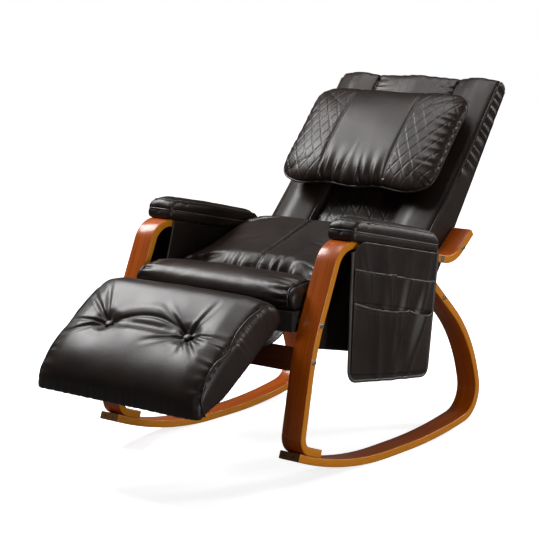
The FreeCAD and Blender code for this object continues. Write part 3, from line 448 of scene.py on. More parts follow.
def ply(name):
    """Bent ply: long grain on the faces, thin layers on the edges, dark end grain."""
    look = Look(name)
    grain = look.add("Attribute", attribute_name="grain").outputs["Vector"]
    ends = look.add("Attribute", attribute_name="end").outputs["Fac"]
    across = look.axis(look.add("NewGeometry").outputs["Normal"], "X")
    edge = look.math("GREATER_THAN", look.math("ABSOLUTE", across), 0.7)
    streaks = look.noise(look.scaled(grain, (2.2, 90, 60)), 2.4, Detail=7, Roughness=0.62)
    figure = look.noise(look.scaled(grain, (1.1, 16, 16)), 1.6, Detail=3, Distortion=0.8)
    short = look.noise(look.scaled(grain, (14, 60, 240)), 2.0, Detail=4)
    layer = look.math("SINE", look.math("MULTIPLY", look.axis(grain, "Z"), 2 * pi / PLY_LAYER))
    layer = look.math("MULTIPLY_ADD", layer, 0.5, 0.5)
    faces = look.mix(
        0.38,
        look.ramp(streaks, (0.30, (0.270, 0.040, 0.0008)), (0.70, (0.620, 0.124, 0.0020))),
        look.ramp(figure, (0.32, (0.310, 0.048, 0.0010)), (0.68, (0.660, 0.140, 0.0024))),
    )
    edges = look.mix(
        0.35,
        look.ramp(layer, (0.1, (0.500, 0.150, 0.0040)), (0.9, (0.800, 0.300, 0.010))),
        look.ramp(short, (0.3, (0.46, 0.130, 0.0036)), (0.7, (0.84, 0.320, 0.011))),
    )
    look.bump(streaks, 0.08, 0.0005)
    return look.finished({
        "Base Color": look.mix(ends, look.mix(edge, faces, edges), END_GRAIN),
        "Roughness": 0.40,
        "Specular IOR Level": 0.14,
        "Coat Weight": 0.55,
        "Coat Roughness": 0.20,
    })


def sawn_wood(name, dark, light, rough):
    look = Look(name)
    rings = look.noise(look.scaled(look.spot(), (3, 70, 70)), 2.0, Detail=6, Distortion=0.4)
    look.bump(rings, 0.15, 0.0006)
    return look.finished({"Base Color": look.ramp(rings, (0.3, dark), (0.7, light)), "Roughness": rough})


def metal(name, colour, rough, metallic):
    """Plated or painted metal with fine brushing and small stains."""
    look = Look(name)
    spot = look.spot()
    stain = look.noise(spot, 60, Detail=4)
    darker = tuple(0.72 * part for part in colour)
    look.bump(look.noise(look.scaled(spot, (1, 1, 12)), 260, Detail=4), 0.1, 0.0003)
    return look.finished({
        "Base Color": look.ramp(stain, (0.35, darker), (0.65, colour)),
        "Metallic": metallic,
        "Roughness": rough,
    })


def moulded(name, colour, rough):
    """Moulded plastic or rubber with a fine spark texture."""
    look = Look(name)
    spot = look.spot()
    drift = look.noise(spot, 40, Detail=3)
    lighter = tuple(1.5 * part for part in colour)
    look.bump(look.noise(spot, 1400, Detail=2), 0.2, 0.0003)
    return look.finished({"Base Color": look.ramp(drift, (0.3, colour), (0.7, lighter)), "Roughness": rough})


def cloth(name, dark, light):
    """Thin non-woven cloth: crossed fine threads and a soft fuzz."""
    look = Look(name)
    spot = look.spot()
    weave = look.noise(look.scaled(spot, (4, 1, 1)), 420, Detail=3)
    blotch = look.noise(spot, 30, Detail=4)
    both = look.math("MULTIPLY", look.math("ADD", weave, blotch), 0.5)
    look.bump(weave, 0.3, 0.0005)
    return look.finished({
        "Base Color": look.ramp(both, (0.35, dark), (0.65, light)),
        "Roughness": 0.9,
        "Sheen Weight": 0.3,
    })


HIDE = leather("leather_espresso", (0.0130, 0.0072, 0.0054), (0.0225, 0.0128, 0.0096), rough=(0.33, 0.45))
# Welt leather: a little lighter than the hide, a painted highlight along the piping.
PAINTED_SHEEN_WELT = leather("leather_welt_painted_sheen", (0.016, 0.0120, 0.0100), (0.030, 0.0225, 0.0190), rough=(0.24, 0.34))
# Binding leather: much lighter than the hide, a painted highlight along pouch bindings, pocket lips, arm
# welts and curtain piping.
PAINTED_HIGHLIGHT_BINDING = leather("leather_binding_painted_highlight", (0.052, 0.0460, 0.0415), (0.092, 0.0830, 0.0750), rough=(0.28, 0.38))
THREAD = cloth("thread", (0.045, 0.040, 0.036), (0.085, 0.076, 0.068))
PLY = ply("bent_ply")
RAIL = sawn_wood("rail_lacquer", (0.070, 0.012, 0.003), (0.140, 0.030, 0.007), rough=0.36)
SAWN = sawn_wood("sawn_wood", (0.36, 0.24, 0.12), (0.58, 0.43, 0.25), rough=0.55)
# Near-black wood for the hidden frame parts: painted shade, so their edges read as the dark gaps between the
# pads; under the footrest it also stands in for the black cloth there.
PAINTED_SHADE_WOOD = sawn_wood("hidden_wood_painted_shade", (0.010, 0.008, 0.007), (0.024, 0.018, 0.015), rough=0.6)
ZINC = metal("zinc", (0.66, 0.66, 0.65), rough=0.28, metallic=1.0)
BLACK_STEEL = metal("black_steel", (0.035, 0.035, 0.036), rough=0.45, metallic=0.2)
CASTING = metal("casting", (0.22, 0.22, 0.225), rough=0.6, metallic=0.6)
MOTOR_PAINT = metal("motor_paint", (0.16, 0.165, 0.17), rough=0.42, metallic=0.3)
PLASTIC = moulded("black_plastic", (0.016, 0.016, 0.017), rough=0.5)
RUBBER = moulded("soft_rubber", (0.03, 0.03, 0.03), rough=0.7)
COVER_CLOTH = cloth("dust_cloth", (0.20, 0.195, 0.19), (0.34, 0.33, 0.32))


def dress(piece, material, body, nodes=()):
    """Gives a piece its material and its body, and hides the nodes that it stands for."""
    piece.data.materials.clear()
    piece.data.materials.append(material)
    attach(piece, body)
    if nodes:
        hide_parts(*nodes)
    return piece


def hide(piece, *nodes, fill=None, body="chair"):
    """Dresses a piece in the chair's main leather."""
    return dress(piece, HIDE, body, nodes)


NODE_LOOKS = {
    RAIL: ["front_rail"],
    SAWN: ["seat_rear_rail", "back_bottom_rail", "back_middle_rail"],
    # Hidden frame parts get the near-black wood: painted shade in the gaps where they show.
    PAINTED_SHADE_WOOD: [
        "left_seat_rail", "right_seat_rail", "seat_front_rail", "seat_board", "footrest_board",
        "left_back_rail", "right_back_rail", "back_top_rail",
    ],
    ZINC: ["frame_bolts", "arm_clips"],
    BLACK_STEEL: [
        "bolt_spacers", "back_straps", "massage_plate",
        "hinge_seat_brackets", "hinge_pad_brackets", "hinge_pins",
    ],
    CASTING: ["massage_gearbox"],
    MOTOR_PAINT: ["massage_motor", "vibration_motors"],
    PLASTIC: [
        "control_box", "power_inlet", "runner_end_plugs", "left_kneading_rotor", "right_kneading_rotor",
    ],
    RUBBER: ["left_kneading_domes", "right_kneading_domes"],
}
for material, names in NODE_LOOKS.items():
    for name in names:
        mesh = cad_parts[name].data
        mesh.materials.clear()
        mesh.materials.append(material)


# Bent-ply strips, with their grain running round the bends

PLY_THICK, PLY_WIDE, PLY_EDGE, HALF_FRAME = 0.020, 0.060, 0.0025, 0.325
ROCKER_RADIUS, ROCKER_RUN, ROCKER_FRONT, ROCKER_TRIM = 1.020, 0.440, -0.402, 0.072
REST_RUN, REAR_RADIUS, REAR_TURN = 0.075, 1.600, 9.7
TAIL_RADIUS, TAIL_TURN = 0.085, 92.3
REAR_LEG_RADIUS, REAR_LEG_TURN, REAR_LEG_RUN = 0.400, 36, 0.090
HEEL_RUN, FOOT_RUN, FOOT_RADIUS = 0.152, 0.106, 0.045
LEG_LEAN, LEG_RUN, LEG_BOW_RADIUS, LEG_BOW, UPPER_LEG_RUN = 11.5, 0.131, 0.700, 12.5, 0.136
TOP_RADIUS, ARM_RUN = 0.075, 0.403
CURL_RADIUS, CURL_TURN, CURL_RUN = 0.078, 50.2, 0.064
BEND_STEP = 0.006


def right_of(heading):
    return np.array([sin(radians(heading)), -cos(radians(heading))])


def ahead(heading):
    return np.array([cos(radians(heading)), sin(radians(heading))])


def track(start, heading, pieces):
    """Points and headings along straight runs and bends; a positive turn bends to the left."""
    point = np.array(start, float)
    made = [(point, heading)]
    for kind, length, turn in pieces:
        if kind == "run":
            count = max(1, int(length / (4 * BEND_STEP)))
            for index in range(1, count + 1):
                made.append((point + ahead(heading) * length * index / count, heading))
            point = made[-1][0]
            continue
        side = -1 if turn > 0 else 1
        centre = point + right_of(heading) * side * length
        count = max(4, int(length * radians(abs(turn)) / BEND_STEP))
        for index in range(1, count + 1):
            now = heading + turn * index / count
            made.append((centre - right_of(now) * side * length, now))
        heading += turn
        point = made[-1][0]
    return made


def on_rocker(angle):
    """Place on the runner's upper face at an angle ahead of its lowest point."""
    return rocker_centre - np.array([sin(radians(angle)), cos(radians(angle))]) * upper_radius


upper_radius = ROCKER_RADIUS - PLY_THICK
rocker_centre = np.array([ROCKER_FRONT + ROCKER_RUN, ROCKER_RADIUS])
front_angle = degrees(asin(ROCKER_RUN / ROCKER_RADIUS)) - degrees(ROCKER_TRIM / ROCKER_RADIUS)
heel_angle = degrees(asin((ROCKER_RUN - HEEL_RUN) / upper_radius))
foot_turn = heel_angle - degrees(asin((ROCKER_RUN - FOOT_RUN) / upper_radius))
leg_heading = 90 - LEG_LEAN
ROCKER_TRACK = track(on_rocker(front_angle), -front_angle, [
    ("bend", upper_radius, front_angle),
    ("run", REST_RUN, 0),
    ("bend", REAR_RADIUS - PLY_THICK, REAR_TURN),
    ("bend", TAIL_RADIUS - PLY_THICK, TAIL_TURN),
    ("bend", REAR_LEG_RADIUS - PLY_THICK, REAR_LEG_TURN),
    ("run", REAR_LEG_RUN, 0),
])
LEG_TRACK = track(on_rocker(heel_angle), 180 - heel_angle, [
    ("bend", upper_radius, foot_turn),
    ("bend", FOOT_RADIUS, leg_heading - (180 - heel_angle + foot_turn)),
    ("run", LEG_RUN, 0),
    ("bend", LEG_BOW_RADIUS, -LEG_BOW),
    ("run", UPPER_LEG_RUN, 0),
    ("bend", TOP_RADIUS, -ARM_SLOPE - (leg_heading - LEG_BOW)),
    ("run", ARM_RUN, 0),
    ("bend", CURL_RADIUS, CURL_TURN),
    ("run", CURL_RUN, 0),
])


def strip_ring(steps=3):
    """Outline of a ply strip's section: (across, depth) pairs round a rectangle with rounded edges."""
    ring = []
    wide, deep = PLY_WIDE - PLY_EDGE, PLY_THICK - PLY_EDGE
    corners = ((wide, PLY_EDGE, -90), (wide, deep, 0), (PLY_EDGE, deep, 90), (PLY_EDGE, PLY_EDGE, 180))
    for x, depth, start in corners:
        for step in range(steps + 1):
            turn = radians(start + 90 * step / steps)
            ring.append((x + PLY_EDGE * cos(turn), depth + PLY_EDGE * sin(turn)))
    return ring


def strip(name, line, low_x, end_line=None):
    """Ply strip along a track, lying to its right, with its grain position stored on every point."""
    ring = strip_ring()
    points, grain = [], []
    length = 0.0
    for index, (point, heading) in enumerate(line):
        if index:
            length += np.linalg.norm(point - line[index - 1][0])
        for across, depth in ring:
            spot = point + right_of(heading) * depth
            if end_line is not None and index == len(line) - 1:
                anchor, way = end_line
                run = ahead(heading)
                gap = anchor - spot
                spot = spot + run * (gap[0] * way[1] - gap[1] * way[0]) / (run[0] * way[1] - run[1] * way[0])
            points.append((low_x + across, spot[0], spot[1]))
            grain.append((length, across, depth))
    size = len(ring)
    faces = [(first, fourth, third, second) for first, second, third, fourth in loft_faces(len(line), size)]
    ends = [0.0] * len(points)
    for start, way in ((0, 1), ((len(line) - 1) * size, -1)):
        cap = tuple(range(len(points), len(points) + size))
        points += points[start:start + size]
        grain += grain[start:start + size]
        ends += [1.0] * size
        faces.append(cap[::way])
    piece = mesh_piece(name, points, faces)
    piece.data.attributes.new("grain", "FLOAT_VECTOR", "POINT").data.foreach_set("vector", np.ravel(grain))
    piece.data.attributes.new("end", "FLOAT", "POINT").data.foreach_set("value", ends)
    return piece


arm_start = ARM.origin[1:]
arm_under = arm_start + right_of(-ARM_SLOPE) * PLY_THICK
for side, sign in SIDES:
    low_x = HALF_FRAME - PLY_WIDE if sign > 0 else -HALF_FRAME
    rocker = strip(f"{side}_rocker_ply", ROCKER_TRACK, low_x, (arm_under, ahead(-ARM_SLOPE)))
    dress(rocker, PLY, "chair", [f"{side}_rocker"])
    leg_arm = strip(f"{side}_leg_arm_ply", LEG_TRACK, low_x)
    dress(leg_arm, PLY, "chair", [f"{side}_leg_arm"])


# Soft goods: shared tools

VOXEL = 0.006
QUILT_LINE = 0.0022
FILL_PRESSURE, FILL_FRAMES = 4, 20
LINE_STEP = 0.005


def filled_out(piece, place, cap):
    """Swells a pad by a short cloth simulation; its underside and its ends are held, and a cap limits it."""
    start = coords(piece)
    toward = normals(piece) @ place.axes.T
    held = piece.vertex_groups.new(name="held")
    fixed = (toward[:, 2] < -0.5) | (np.abs(toward[:, 0]) > 0.8)
    held.add([int(index) for index in np.flatnonzero(fixed)], 1.0, "REPLACE")
    settings = piece.modifiers.new("filling", "CLOTH").settings
    settings.use_pressure = True
    settings.uniform_pressure_force = FILL_PRESSURE
    settings.effector_weights.gravity = 0
    settings.vertex_group_mass = "held"
    for step in range(1, FILL_FRAMES + 1):
        scene.frame_set(step)
    bake(piece)
    scene.frame_set(1)
    piece.vertex_groups.clear()
    moves = coords(piece) - start
    reach = np.linalg.norm(moves, axis=1, keepdims=True)
    set_coords(piece, start + moves * np.minimum(1, cap / np.maximum(reach, 1e-9)))


def upholstered(name, node_name, smoothing=6, place=None, cap=0.0):
    """Fine, even copy of a soft node, swollen by its filling if it has a cap, ready for seams and folds."""
    piece = soft_copy(name, node_name, VOXEL, smoothing)
    if cap:
        filled_out(piece, place, cap)
    return subdivided(piece)


def shaped(piece, place, change):
    """Moves the points along their normals, by amounts worked out from local places and normals."""
    outs = normals(piece)
    amount = change(place.local(coords(piece)), outs @ place.axes.T)
    set_coords(piece, coords(piece) + outs * amount[:, None])


def dropped(surface, place, spots, way=(0, 0, -1), reach=0.3):
    """Where straight lines through local spots meet a surface; lines that miss are left out."""
    way = unit(np.asarray(way, float))
    found = []
    for spot in spots:
        start = place.world(np.asarray(spot) - way * reach)
        hit = surface.ray_cast(Vector(start), Vector(way @ place.axes), 2 * reach)[0]
        if hit is not None:
            found.append(np.array(hit))
    return np.array(found)


def outermost(spots, middle, angles, width, score, allowed=True):
    """Line through the spots that score highest at each angle round a middle in the side plane."""
    turn = np.degrees(np.arctan2(spots[:, 2] - middle[1], spots[:, 1] - middle[0]))
    line = []
    for angle in angles:
        near = allowed & (np.abs((turn - angle + 180) % 360 - 180) < width)
        if near.any():
            line.append(spots[np.argmax(np.where(near, score, -9))])
    return np.array(line)


def reach_from(spots, middle):
    return np.hypot(spots[:, 1] - middle[0], spots[:, 2] - middle[1])


def diamonds(across, along, wide, tall):
    """Share from 0 to 1 that is high on the lines of a diamond quilting."""
    rising = across / wide + along / tall
    falling = across / wide - along / tall
    gap = np.minimum(np.abs(rising - np.round(rising)), np.abs(falling - np.round(falling)))
    return bell(gap * wide, QUILT_LINE)


def welt(name, points, body="chair", radius=0.0024, closed=False, look=PAINTED_SHEEN_WELT):
    """Leather piping along a line; by default in the welt leather, whose lighter colour is a painted
    highlight.
    """
    line = relaxed(resampled(points, LINE_STEP, closed), 3, closed)
    return dress(tube(name, line, radius, closed), look, body)


def sewn(name, surface, lines, body="chair"):
    return dress(stitches(name, surface, lines), THREAD, body)


def sheet_piece(name, grid, thick):
    """Sheet through a grid of points, and its area on one side."""
    rows, columns = grid.shape[:2]
    piece = mesh_piece(name, grid.reshape(-1, 3), grid_faces(rows, columns))
    area = sum(polygon.area for polygon in piece.data.polygons)
    modify(piece, "SOLIDIFY", thickness=thick, offset=0)
    return piece, area


def hung_sheet(name, grid, thick, node):
    """Hanging leather sheet through a grid of points, in the chair's main leather."""
    piece, area = sheet_piece(name, grid, thick)
    hide(piece, node)
    return piece


# Footrest: a tufted pad with two buttons, boxed sides and piping

TUFT_X, TUFT_Y, TUFT_Z = 0.126, -0.168, 0.0935
TUFT_BOW, TUFT_EASE, TUFT_FLOOR = 0.034, 0.078, 0.050
FOLDS = {
    1: [(25, -90), (-95, -62), (102, -3), (64, 20), (19, 51), (65, 61), (-86, 41)],
    -1: [(-105, -80), (-72, -109), (-110, 12), (-111, 61), (0, 25)],
}
FOLD_REACH = 1.30 / 1000
PAD_FLOOR, NOSE_START, NOSE_END, NOSE_FALL, NOSE_POWER = 0.0113, -0.165, -0.360, 0.52, 3.8
PAD_HALF, SIDE_FALL, PAD_SPREAD, PAD_KEEP = 0.250, 0.10, 1.036, 0.95
SKIRT, SKIRT_FRONT, SKIRT_RUN = 0.010, -0.330, 0.200
REAR_START, REAR_RUN, REAR_REACH = -0.110, 0.095, 0.022
CAD_TUFT_DEEP, CAD_TUFT_WIDE = 0.030, 0.050
FOOT_MIDDLE = (-0.185, 0.062)
RIM_WEIGHT, RIM_INNER = 2.0, 0.254
BUTTON_RADIUS, BUTTON_SIDES = 0.0115, 28
BUTTON_PROFILE = [
    (0.55, -0.55), (0.92, -0.38), (1.0, -0.08), (0.97, 0.14), (0.84, 0.32), (0.6, 0.44), (0.3, 0.5),
]


def tuft_gap(spots, sign):
    return np.hypot(spots[:, 0] - sign * TUFT_X, spots[:, 1] - TUFT_Y)


def arched(spots):
    """Pad with soft tufts, whose top falls away over a long round nose and towards both sides."""
    made = spots.copy()
    on_top = facing(spots[:, 2], TUFT_FLOOR, 0.070)
    for _, sign in SIDES:
        gap = tuft_gap(spots, sign)
        filled = CAD_TUFT_DEEP * np.clip(1 - gap / CAD_TUFT_WIDE, 0, 1)
        dish = 0.010 * bell(gap, 0.070) + 0.005 * bell(gap, 0.016)
        made[:, 2] += on_top * (filled - dish)
    ahead_by = np.clip((NOSE_START - spots[:, 1]) / (NOSE_START - NOSE_END), 0, 1)
    aside = np.clip(np.abs(spots[:, 0]) / PAD_HALF, 0, 1)
    keep = PAD_KEEP * (1 - NOSE_FALL * ahead_by ** NOSE_POWER) * (1 - SIDE_FALL * aside ** 5)
    made[:, 2] = PAD_FLOOR + (made[:, 2] - PAD_FLOOR) * keep
    low_edge = facing(np.abs(spots[:, 0]), 0.236, 0.247) * facing(-spots[:, 2], -0.050, -0.015)
    made[:, 2] -= SKIRT * low_edge * np.clip((spots[:, 1] - SKIRT_FRONT) / SKIRT_RUN, 0, 1)
    made[:, 0] *= PAD_SPREAD
    made[:, 1] += REAR_REACH * np.clip((spots[:, 1] - REAR_START) / REAR_RUN, 0, 1) ** 2
    return made


def footrest_folds(spots, toward):
    flat = spots * (1, 1, 0)
    amount = np.zeros(len(spots))
    for sign, ends in FOLDS.items():
        centre = np.array([sign * TUFT_X, TUFT_Y, 0])
        for across, forward in ends:
            end = centre + FOLD_REACH * np.array([across, -forward, 0])
            amount += crease(flat, centre, end, depth=0.0048, width=0.0055)
    turn = np.linspace(-1, 1, 25)
    bowed = np.stack([turn * TUFT_X, TUFT_Y + TUFT_BOW * (1 - turn ** 2), 0 * turn], 1)
    amount += groove(flat, bowed, depth=0.0042, width=0.006)
    amount += groove(flat, bowed, depth=0.0034, width=0.022)
    ahead_of = flat[:, 1] - (TUFT_Y + TUFT_BOW * (1 - np.clip(flat[:, 0] / TUFT_X, -1, 1) ** 2))
    amount += (np.abs(flat[:, 0]) < TUFT_X) * 0.0020 * bell(ahead_of - 0.022, 0.014)
    return amount * facing(toward[:, 2])


def footrest_rim(spots, sign):
    """Edge between the top and a boxed side, from the rear over the nose to the lower front."""
    score = RIM_WEIGHT * sign * spots[:, 0] + reach_from(spots, FOOT_MIDDLE)
    return relaxed(outermost(spots, FOOT_MIDDLE, np.arange(4, 197, 3), 2, score), 24)


def footrest_gathers(spots, toward):
    amount = gathers(spots, nose_seam, height=0.0011, spacing=0.024, reach=0.034, seed=5)
    for sign, rim in foot_rims.items():
        inner = sign * spots[:, 0] < RIM_INNER
        amount += inner * gathers(spots, rim[20:], height=0.0018, spacing=0.026, reach=0.044, seed=7 + sign)
        boxing = facing(sign * toward[:, 0], 0.5, 0.9)
        amount += boxing * gathers(spots, rim[:24], height=0.0014, spacing=0.024, reach=0.050, seed=3 + sign)
    return amount + mottled(spots, height=0.0012, scale=14, seed=2)


def button(name, centre):
    """Covered button: a domed cap with a tucked rim."""
    points = []
    for reach, rise in BUTTON_PROFILE:
        for turn in 2 * pi * np.arange(BUTTON_SIDES) / BUTTON_SIDES:
            points.append((reach * cos(turn), reach * sin(turn), rise))
    points = FOOT.world(BUTTON_RADIUS * np.array(points) + centre)
    faces = loft_faces(len(BUTTON_PROFILE), BUTTON_SIDES)
    faces.append(tuple(range(len(points) - BUTTON_SIDES, len(points))))
    faces.append(tuple(reversed(range(BUTTON_SIDES))))
    return subdivided(mesh_piece(name, points, faces))


pad = upholstered("footrest_hide", "footrest_pad")
set_coords(pad, FOOT.world(arched(FOOT.local(coords(pad)))))
tuft_spots = FOOT.local(coords(pad))
tuft_group = pad.vertex_groups.new(name="tufts")
nearest_tuft = np.minimum(tuft_gap(tuft_spots, 1), tuft_gap(tuft_spots, -1))
for index in np.flatnonzero((nearest_tuft < TUFT_EASE) & (tuft_spots[:, 2] > TUFT_FLOOR)):
    tuft_group.add([int(index)], min(1.0, nearest_tuft[index] / 0.020), "REPLACE")
modify(pad, "SMOOTH", factor=0.5, iterations=60, vertex_group="tufts")
pad.vertex_groups.clear()
shaped(pad, FOOT, footrest_folds)
foot_spots = FOOT.local(coords(pad))
foot_rims = {sign: footrest_rim(foot_spots, sign) for _, sign in SIDES}
nose_seam = np.linspace((-0.240, -0.346, 0.026), (0.240, -0.346, 0.026), 49)
shaped(pad, FOOT, footrest_gathers)
hide(pad, "footrest_pad", fill=0.85, body="footrest")
foot_surface = surface_of(pad)
for side, sign in SIDES:
    rim, _ = seated(foot_surface, FOOT.world(foot_rims[sign]), 0.0012)
    welt(f"{side}_footrest_piping", rim, "footrest", 0.0028)
nose_line, _ = seated(foot_surface, FOOT.world(nose_seam), 0.0004)
welt("footrest_nose_seam", nose_line, "footrest", 0.0018)
hide(button("left_tuft_button", (TUFT_X, TUFT_Y, TUFT_Z)), "footrest_buttons", body="footrest")
hide(button("right_tuft_button", (-TUFT_X, TUFT_Y, TUFT_Z)), body="footrest")


# Front bolster: a roll with a capped and piped end on each side

CAP_X = 0.238
ROLL_MIDDLE = (0.048, 0.058)
ROLL_CAP = 0.008


def ring_at(spots, x, middle, step=5):
    """Closed line round a piece where a plane across it cuts its skin."""
    level = np.abs(spots[:, 0] - x) < VOXEL
    line = outermost(spots, middle, range(-180, 180, step), step, reach_from(spots, middle), level)
    return relaxed(line * (0, 1, 1) + (x, 0, 0), 4, closed=True)


def roll_gathers(spots, toward):
    amount = mottled(spots, height=0.0010, scale=16, seed=4)
    for sign, ring in roll_rings.items():
        inner = sign * spots[:, 0] < CAP_X
        amount += inner * gathers(spots, ring, height=0.0036, spacing=0.023, reach=0.050, seed=11 + sign)
        amount += groove(spots, ring, depth=0.003, width=0.005)
    return amount


roll = upholstered("bolster_hide", "front_bolster", place=SEAT, cap=ROLL_CAP)
roll_rings = {sign: ring_at(SEAT.local(coords(roll)), sign * CAP_X, ROLL_MIDDLE) for _, sign in SIDES}
shaped(roll, SEAT, roll_gathers)
hide(roll, "front_bolster", fill=0.9)
roll_surface = surface_of(roll)
for side, sign in SIDES:
    ring, _ = seated(roll_surface, SEAT.world(roll_rings[sign]), 0.001)
    welt(f"{side}_bolster_piping", ring, closed=True)


# Seat cushion: a wedge with a double-stitched seam down the middle and one across its crest

SEAT_CAP = 0.014
CREST_SEAM, SEAT_TUCK, SEAM_GAP = 0.392, 0.134, 0.006
SEAM_DEEP, SEAM_WIDE = 0.0060, 0.0070
front_tuck = np.linspace((-0.246, SEAT_TUCK, 0.062), (0.246, SEAT_TUCK, 0.062), 60)


def seat_folds(spots, toward):
    flat = spots * (1, 1, 0)
    up = facing(toward[:, 2])
    stronger = 0.6 + 0.4 * np.clip(spots[:, 0] / 0.12, -1, 1)
    amount = stronger * gathers(spots, front_tuck, height=0.0130, spacing=0.041, reach=0.068, seed=21)
    amount += 0.004 * up * np.cos(0.5 * pi * np.clip(spots[:, 0] / 0.25, -1, 1))
    for line in ([(0, 0.10, 0), (0, 0.48, 0)], [(-0.26, CREST_SEAM, 0), (0.26, CREST_SEAM, 0)]):
        amount += up * groove(flat, line, SEAM_DEEP, SEAM_WIDE)
    for sign in (1, -1):
        corner = np.array([sign * 0.235, 0.150, 0])
        amount += up * crease(flat, corner, corner + (-0.060 * sign, 0.085, 0), depth=0.005, width=0.012)
        amount += up * crease(flat, corner, corner + (-0.015 * sign, 0.110, 0), depth=0.004, width=0.010)
    return amount + mottled(spots, height=0.0022, scale=9, seed=6)


seat_pad = upholstered("seat_hide", "seat_cushion", place=SEAT, cap=SEAT_CAP)
shaped(seat_pad, SEAT, seat_folds)
hide(seat_pad, "seat_cushion", fill=0.75)
seat_surface = surface_of(seat_pad)
seat_lines = []
for x in (-0.0065, 0.0065):
    seat_lines.append(np.linspace((x, SEAT_TUCK + 0.002, 0.1), (x, CREST_SEAM, 0.1), 60))
for y in (CREST_SEAM - SEAM_GAP, CREST_SEAM + SEAM_GAP):
    seat_lines.append(np.linspace((-0.235, y, 0.1), (0.235, y, 0.1), 80))
sewn("seat_stitching", seat_surface, [dropped(seat_surface, SEAT, line) for line in seat_lines])


# Backrest: side bolsters, quilted centre, top band and the cover round the frame

COVER_HALF, COVER_WRAP, COVER_LONG = 0.2635, 0.075, 0.68
COVER_VOXEL = 0.0024
BACK_SWELL = 0.0050
BACK_TOP = 0.596
QUILT_PITCH = 0.045
CENTRE_SPREAD, CENTRE_LIFT = 1.04, 0.006
RIM_DROP = 0.010


def back_depth(y):
    """Depth of the backrest's side at a height along it."""
    return 0.108 - 0.1877 * y + 0.1159 * y * y


def up_the_back(x, low, high, count, lift=0.0):
    """Spots along the front edge of the backrest's side, at one place across."""
    return [(x, y, back_depth(y) + lift) for y in np.linspace(low, high, count)]


for side, sign in SIDES:
    cheek = upholstered(f"{side}_back_bolster_hide", f"{side}_back_bolster")
    head_edge = np.linspace((sign * 0.138, BACK_TOP, 0.045), (sign * 0.255, BACK_TOP, 0.045), 20)

    def cheek_folds(spots, toward):
        amount = gathers(spots, head_edge, height=0.0003, spacing=0.030, reach=0.034, seed=31 + sign)
        return amount + mottled(spots, height=0.0016, scale=8, seed=12 + sign) + BACK_SWELL

    shaped(cheek, BACK, cheek_folds)
    hide(cheek, f"{side}_back_bolster", fill=0.9)
    inner_run = up_the_back(sign * 0.134, 0.0, 0.580, 80)[1:]
    inner = dropped(surface_of(cheek), BACK, inner_run, (sign, 0, -0.6), 0.06)
    welt(f"{side}_back_inner_piping", inner)
    outer_run = up_the_back(sign * 0.2612, 0.0, 0.580, 80, lift=0.0015)
    welt(f"{side}_back_outer_piping", BACK.world(outer_run), radius=0.0030)


def centre_quilting(spots, toward):
    front = facing(toward[:, 2], 0.2, 0.7)
    lines = diamonds(spots[:, 0], spots[:, 1], QUILT_PITCH, QUILT_PITCH)
    upright = np.abs(spots[:, 0] / QUILT_PITCH - np.round(spots[:, 0] / QUILT_PITCH)) * QUILT_PITCH
    return front * (0.0004 - 0.0005 * lines - 0.0010 * bell(upright, QUILT_LINE))


centre = subdivided(upholstered("centre_panel_hide", "back_centre_panel", smoothing=14))
centre_spots = BACK.local(coords(centre)) * (CENTRE_SPREAD, 1, 1) + (0, 0, CENTRE_LIFT)
set_coords(centre, BACK.world(centre_spots))
shaped(centre, BACK, centre_quilting)
hide(centre, "back_centre_panel", fill=0.6)
centre_surface = surface_of(centre)
centre_lines = []
for column in range(-2, 3):
    x = column * QUILT_PITCH
    centre_lines.append(dropped(centre_surface, BACK, np.linspace((x, 0.05, 0.06), (x, 0.43, 0.06), 70)))
sewn("centre_panel_stitching", centre_surface, centre_lines)

band_top = np.linspace((-0.128, BACK_TOP, 0.040), (0.128, BACK_TOP, 0.040), 40)


def band_folds(spots, toward):
    amount = gathers(spots, band_top, height=0.0006, spacing=0.034, reach=0.060, seed=41)
    for sign in (1, -1):
        end = np.linspace((sign * 0.131, 0.45, 0.045), (sign * 0.131, 0.595, 0.045), 20)
        amount += gathers(spots, end, height=0.0016, spacing=0.024, reach=0.034, seed=43 + sign)
    return amount + mottled(spots, height=0.0012, scale=12, seed=9) + BACK_SWELL


band = upholstered("top_band_hide", "back_top_band")
shaped(band, BACK, band_folds)
hide(band, "back_top_band", fill=0.7)

cover = soft_copy("back_cover_hide", "back_cover", COVER_VOXEL, 3)
cover_spots = BACK.local(coords(cover))
beside = facing(np.abs(cover_spots[:, 0]), 0.250, 0.258)
edge_line = np.array(up_the_back(0, 0.30, 0.60, 60))
pulled = gathers(cover_spots * (0, 1, 1), edge_line, height=0.0044, spacing=0.026, reach=0.050, seed=51)
waves = mottled(cover_spots, height=0.0012, scale=9, seed=3)
top_rim = facing(cover_spots[:, 1], 0.585, BACK_TOP) * facing(cover_spots[:, 2], 0.016, 0.036)
cover_moves = np.zeros_like(cover_spots)
cover_moves[:, 0] = np.sign(cover_spots[:, 0]) * beside * (pulled + waves)
cover_moves[:, 2] = (1 - beside) * waves - RIM_DROP * top_rim
set_coords(cover, BACK.world(cover_spots + cover_moves))
hide(cover, "back_cover")
cover_surface = surface_of(cover)
for side, sign in SIDES:
    rear_run = np.linspace((sign * COVER_HALF, 0.0, 0), (sign * COVER_HALF, 0.585, 0), 70)
    welt(f"{side}_back_rear_piping", dropped(cover_surface, BACK, rear_run, (-sign, 0, 1), 0.05))


# Head pillow: a knife-edged cushion with quilted ends, gathers and piping

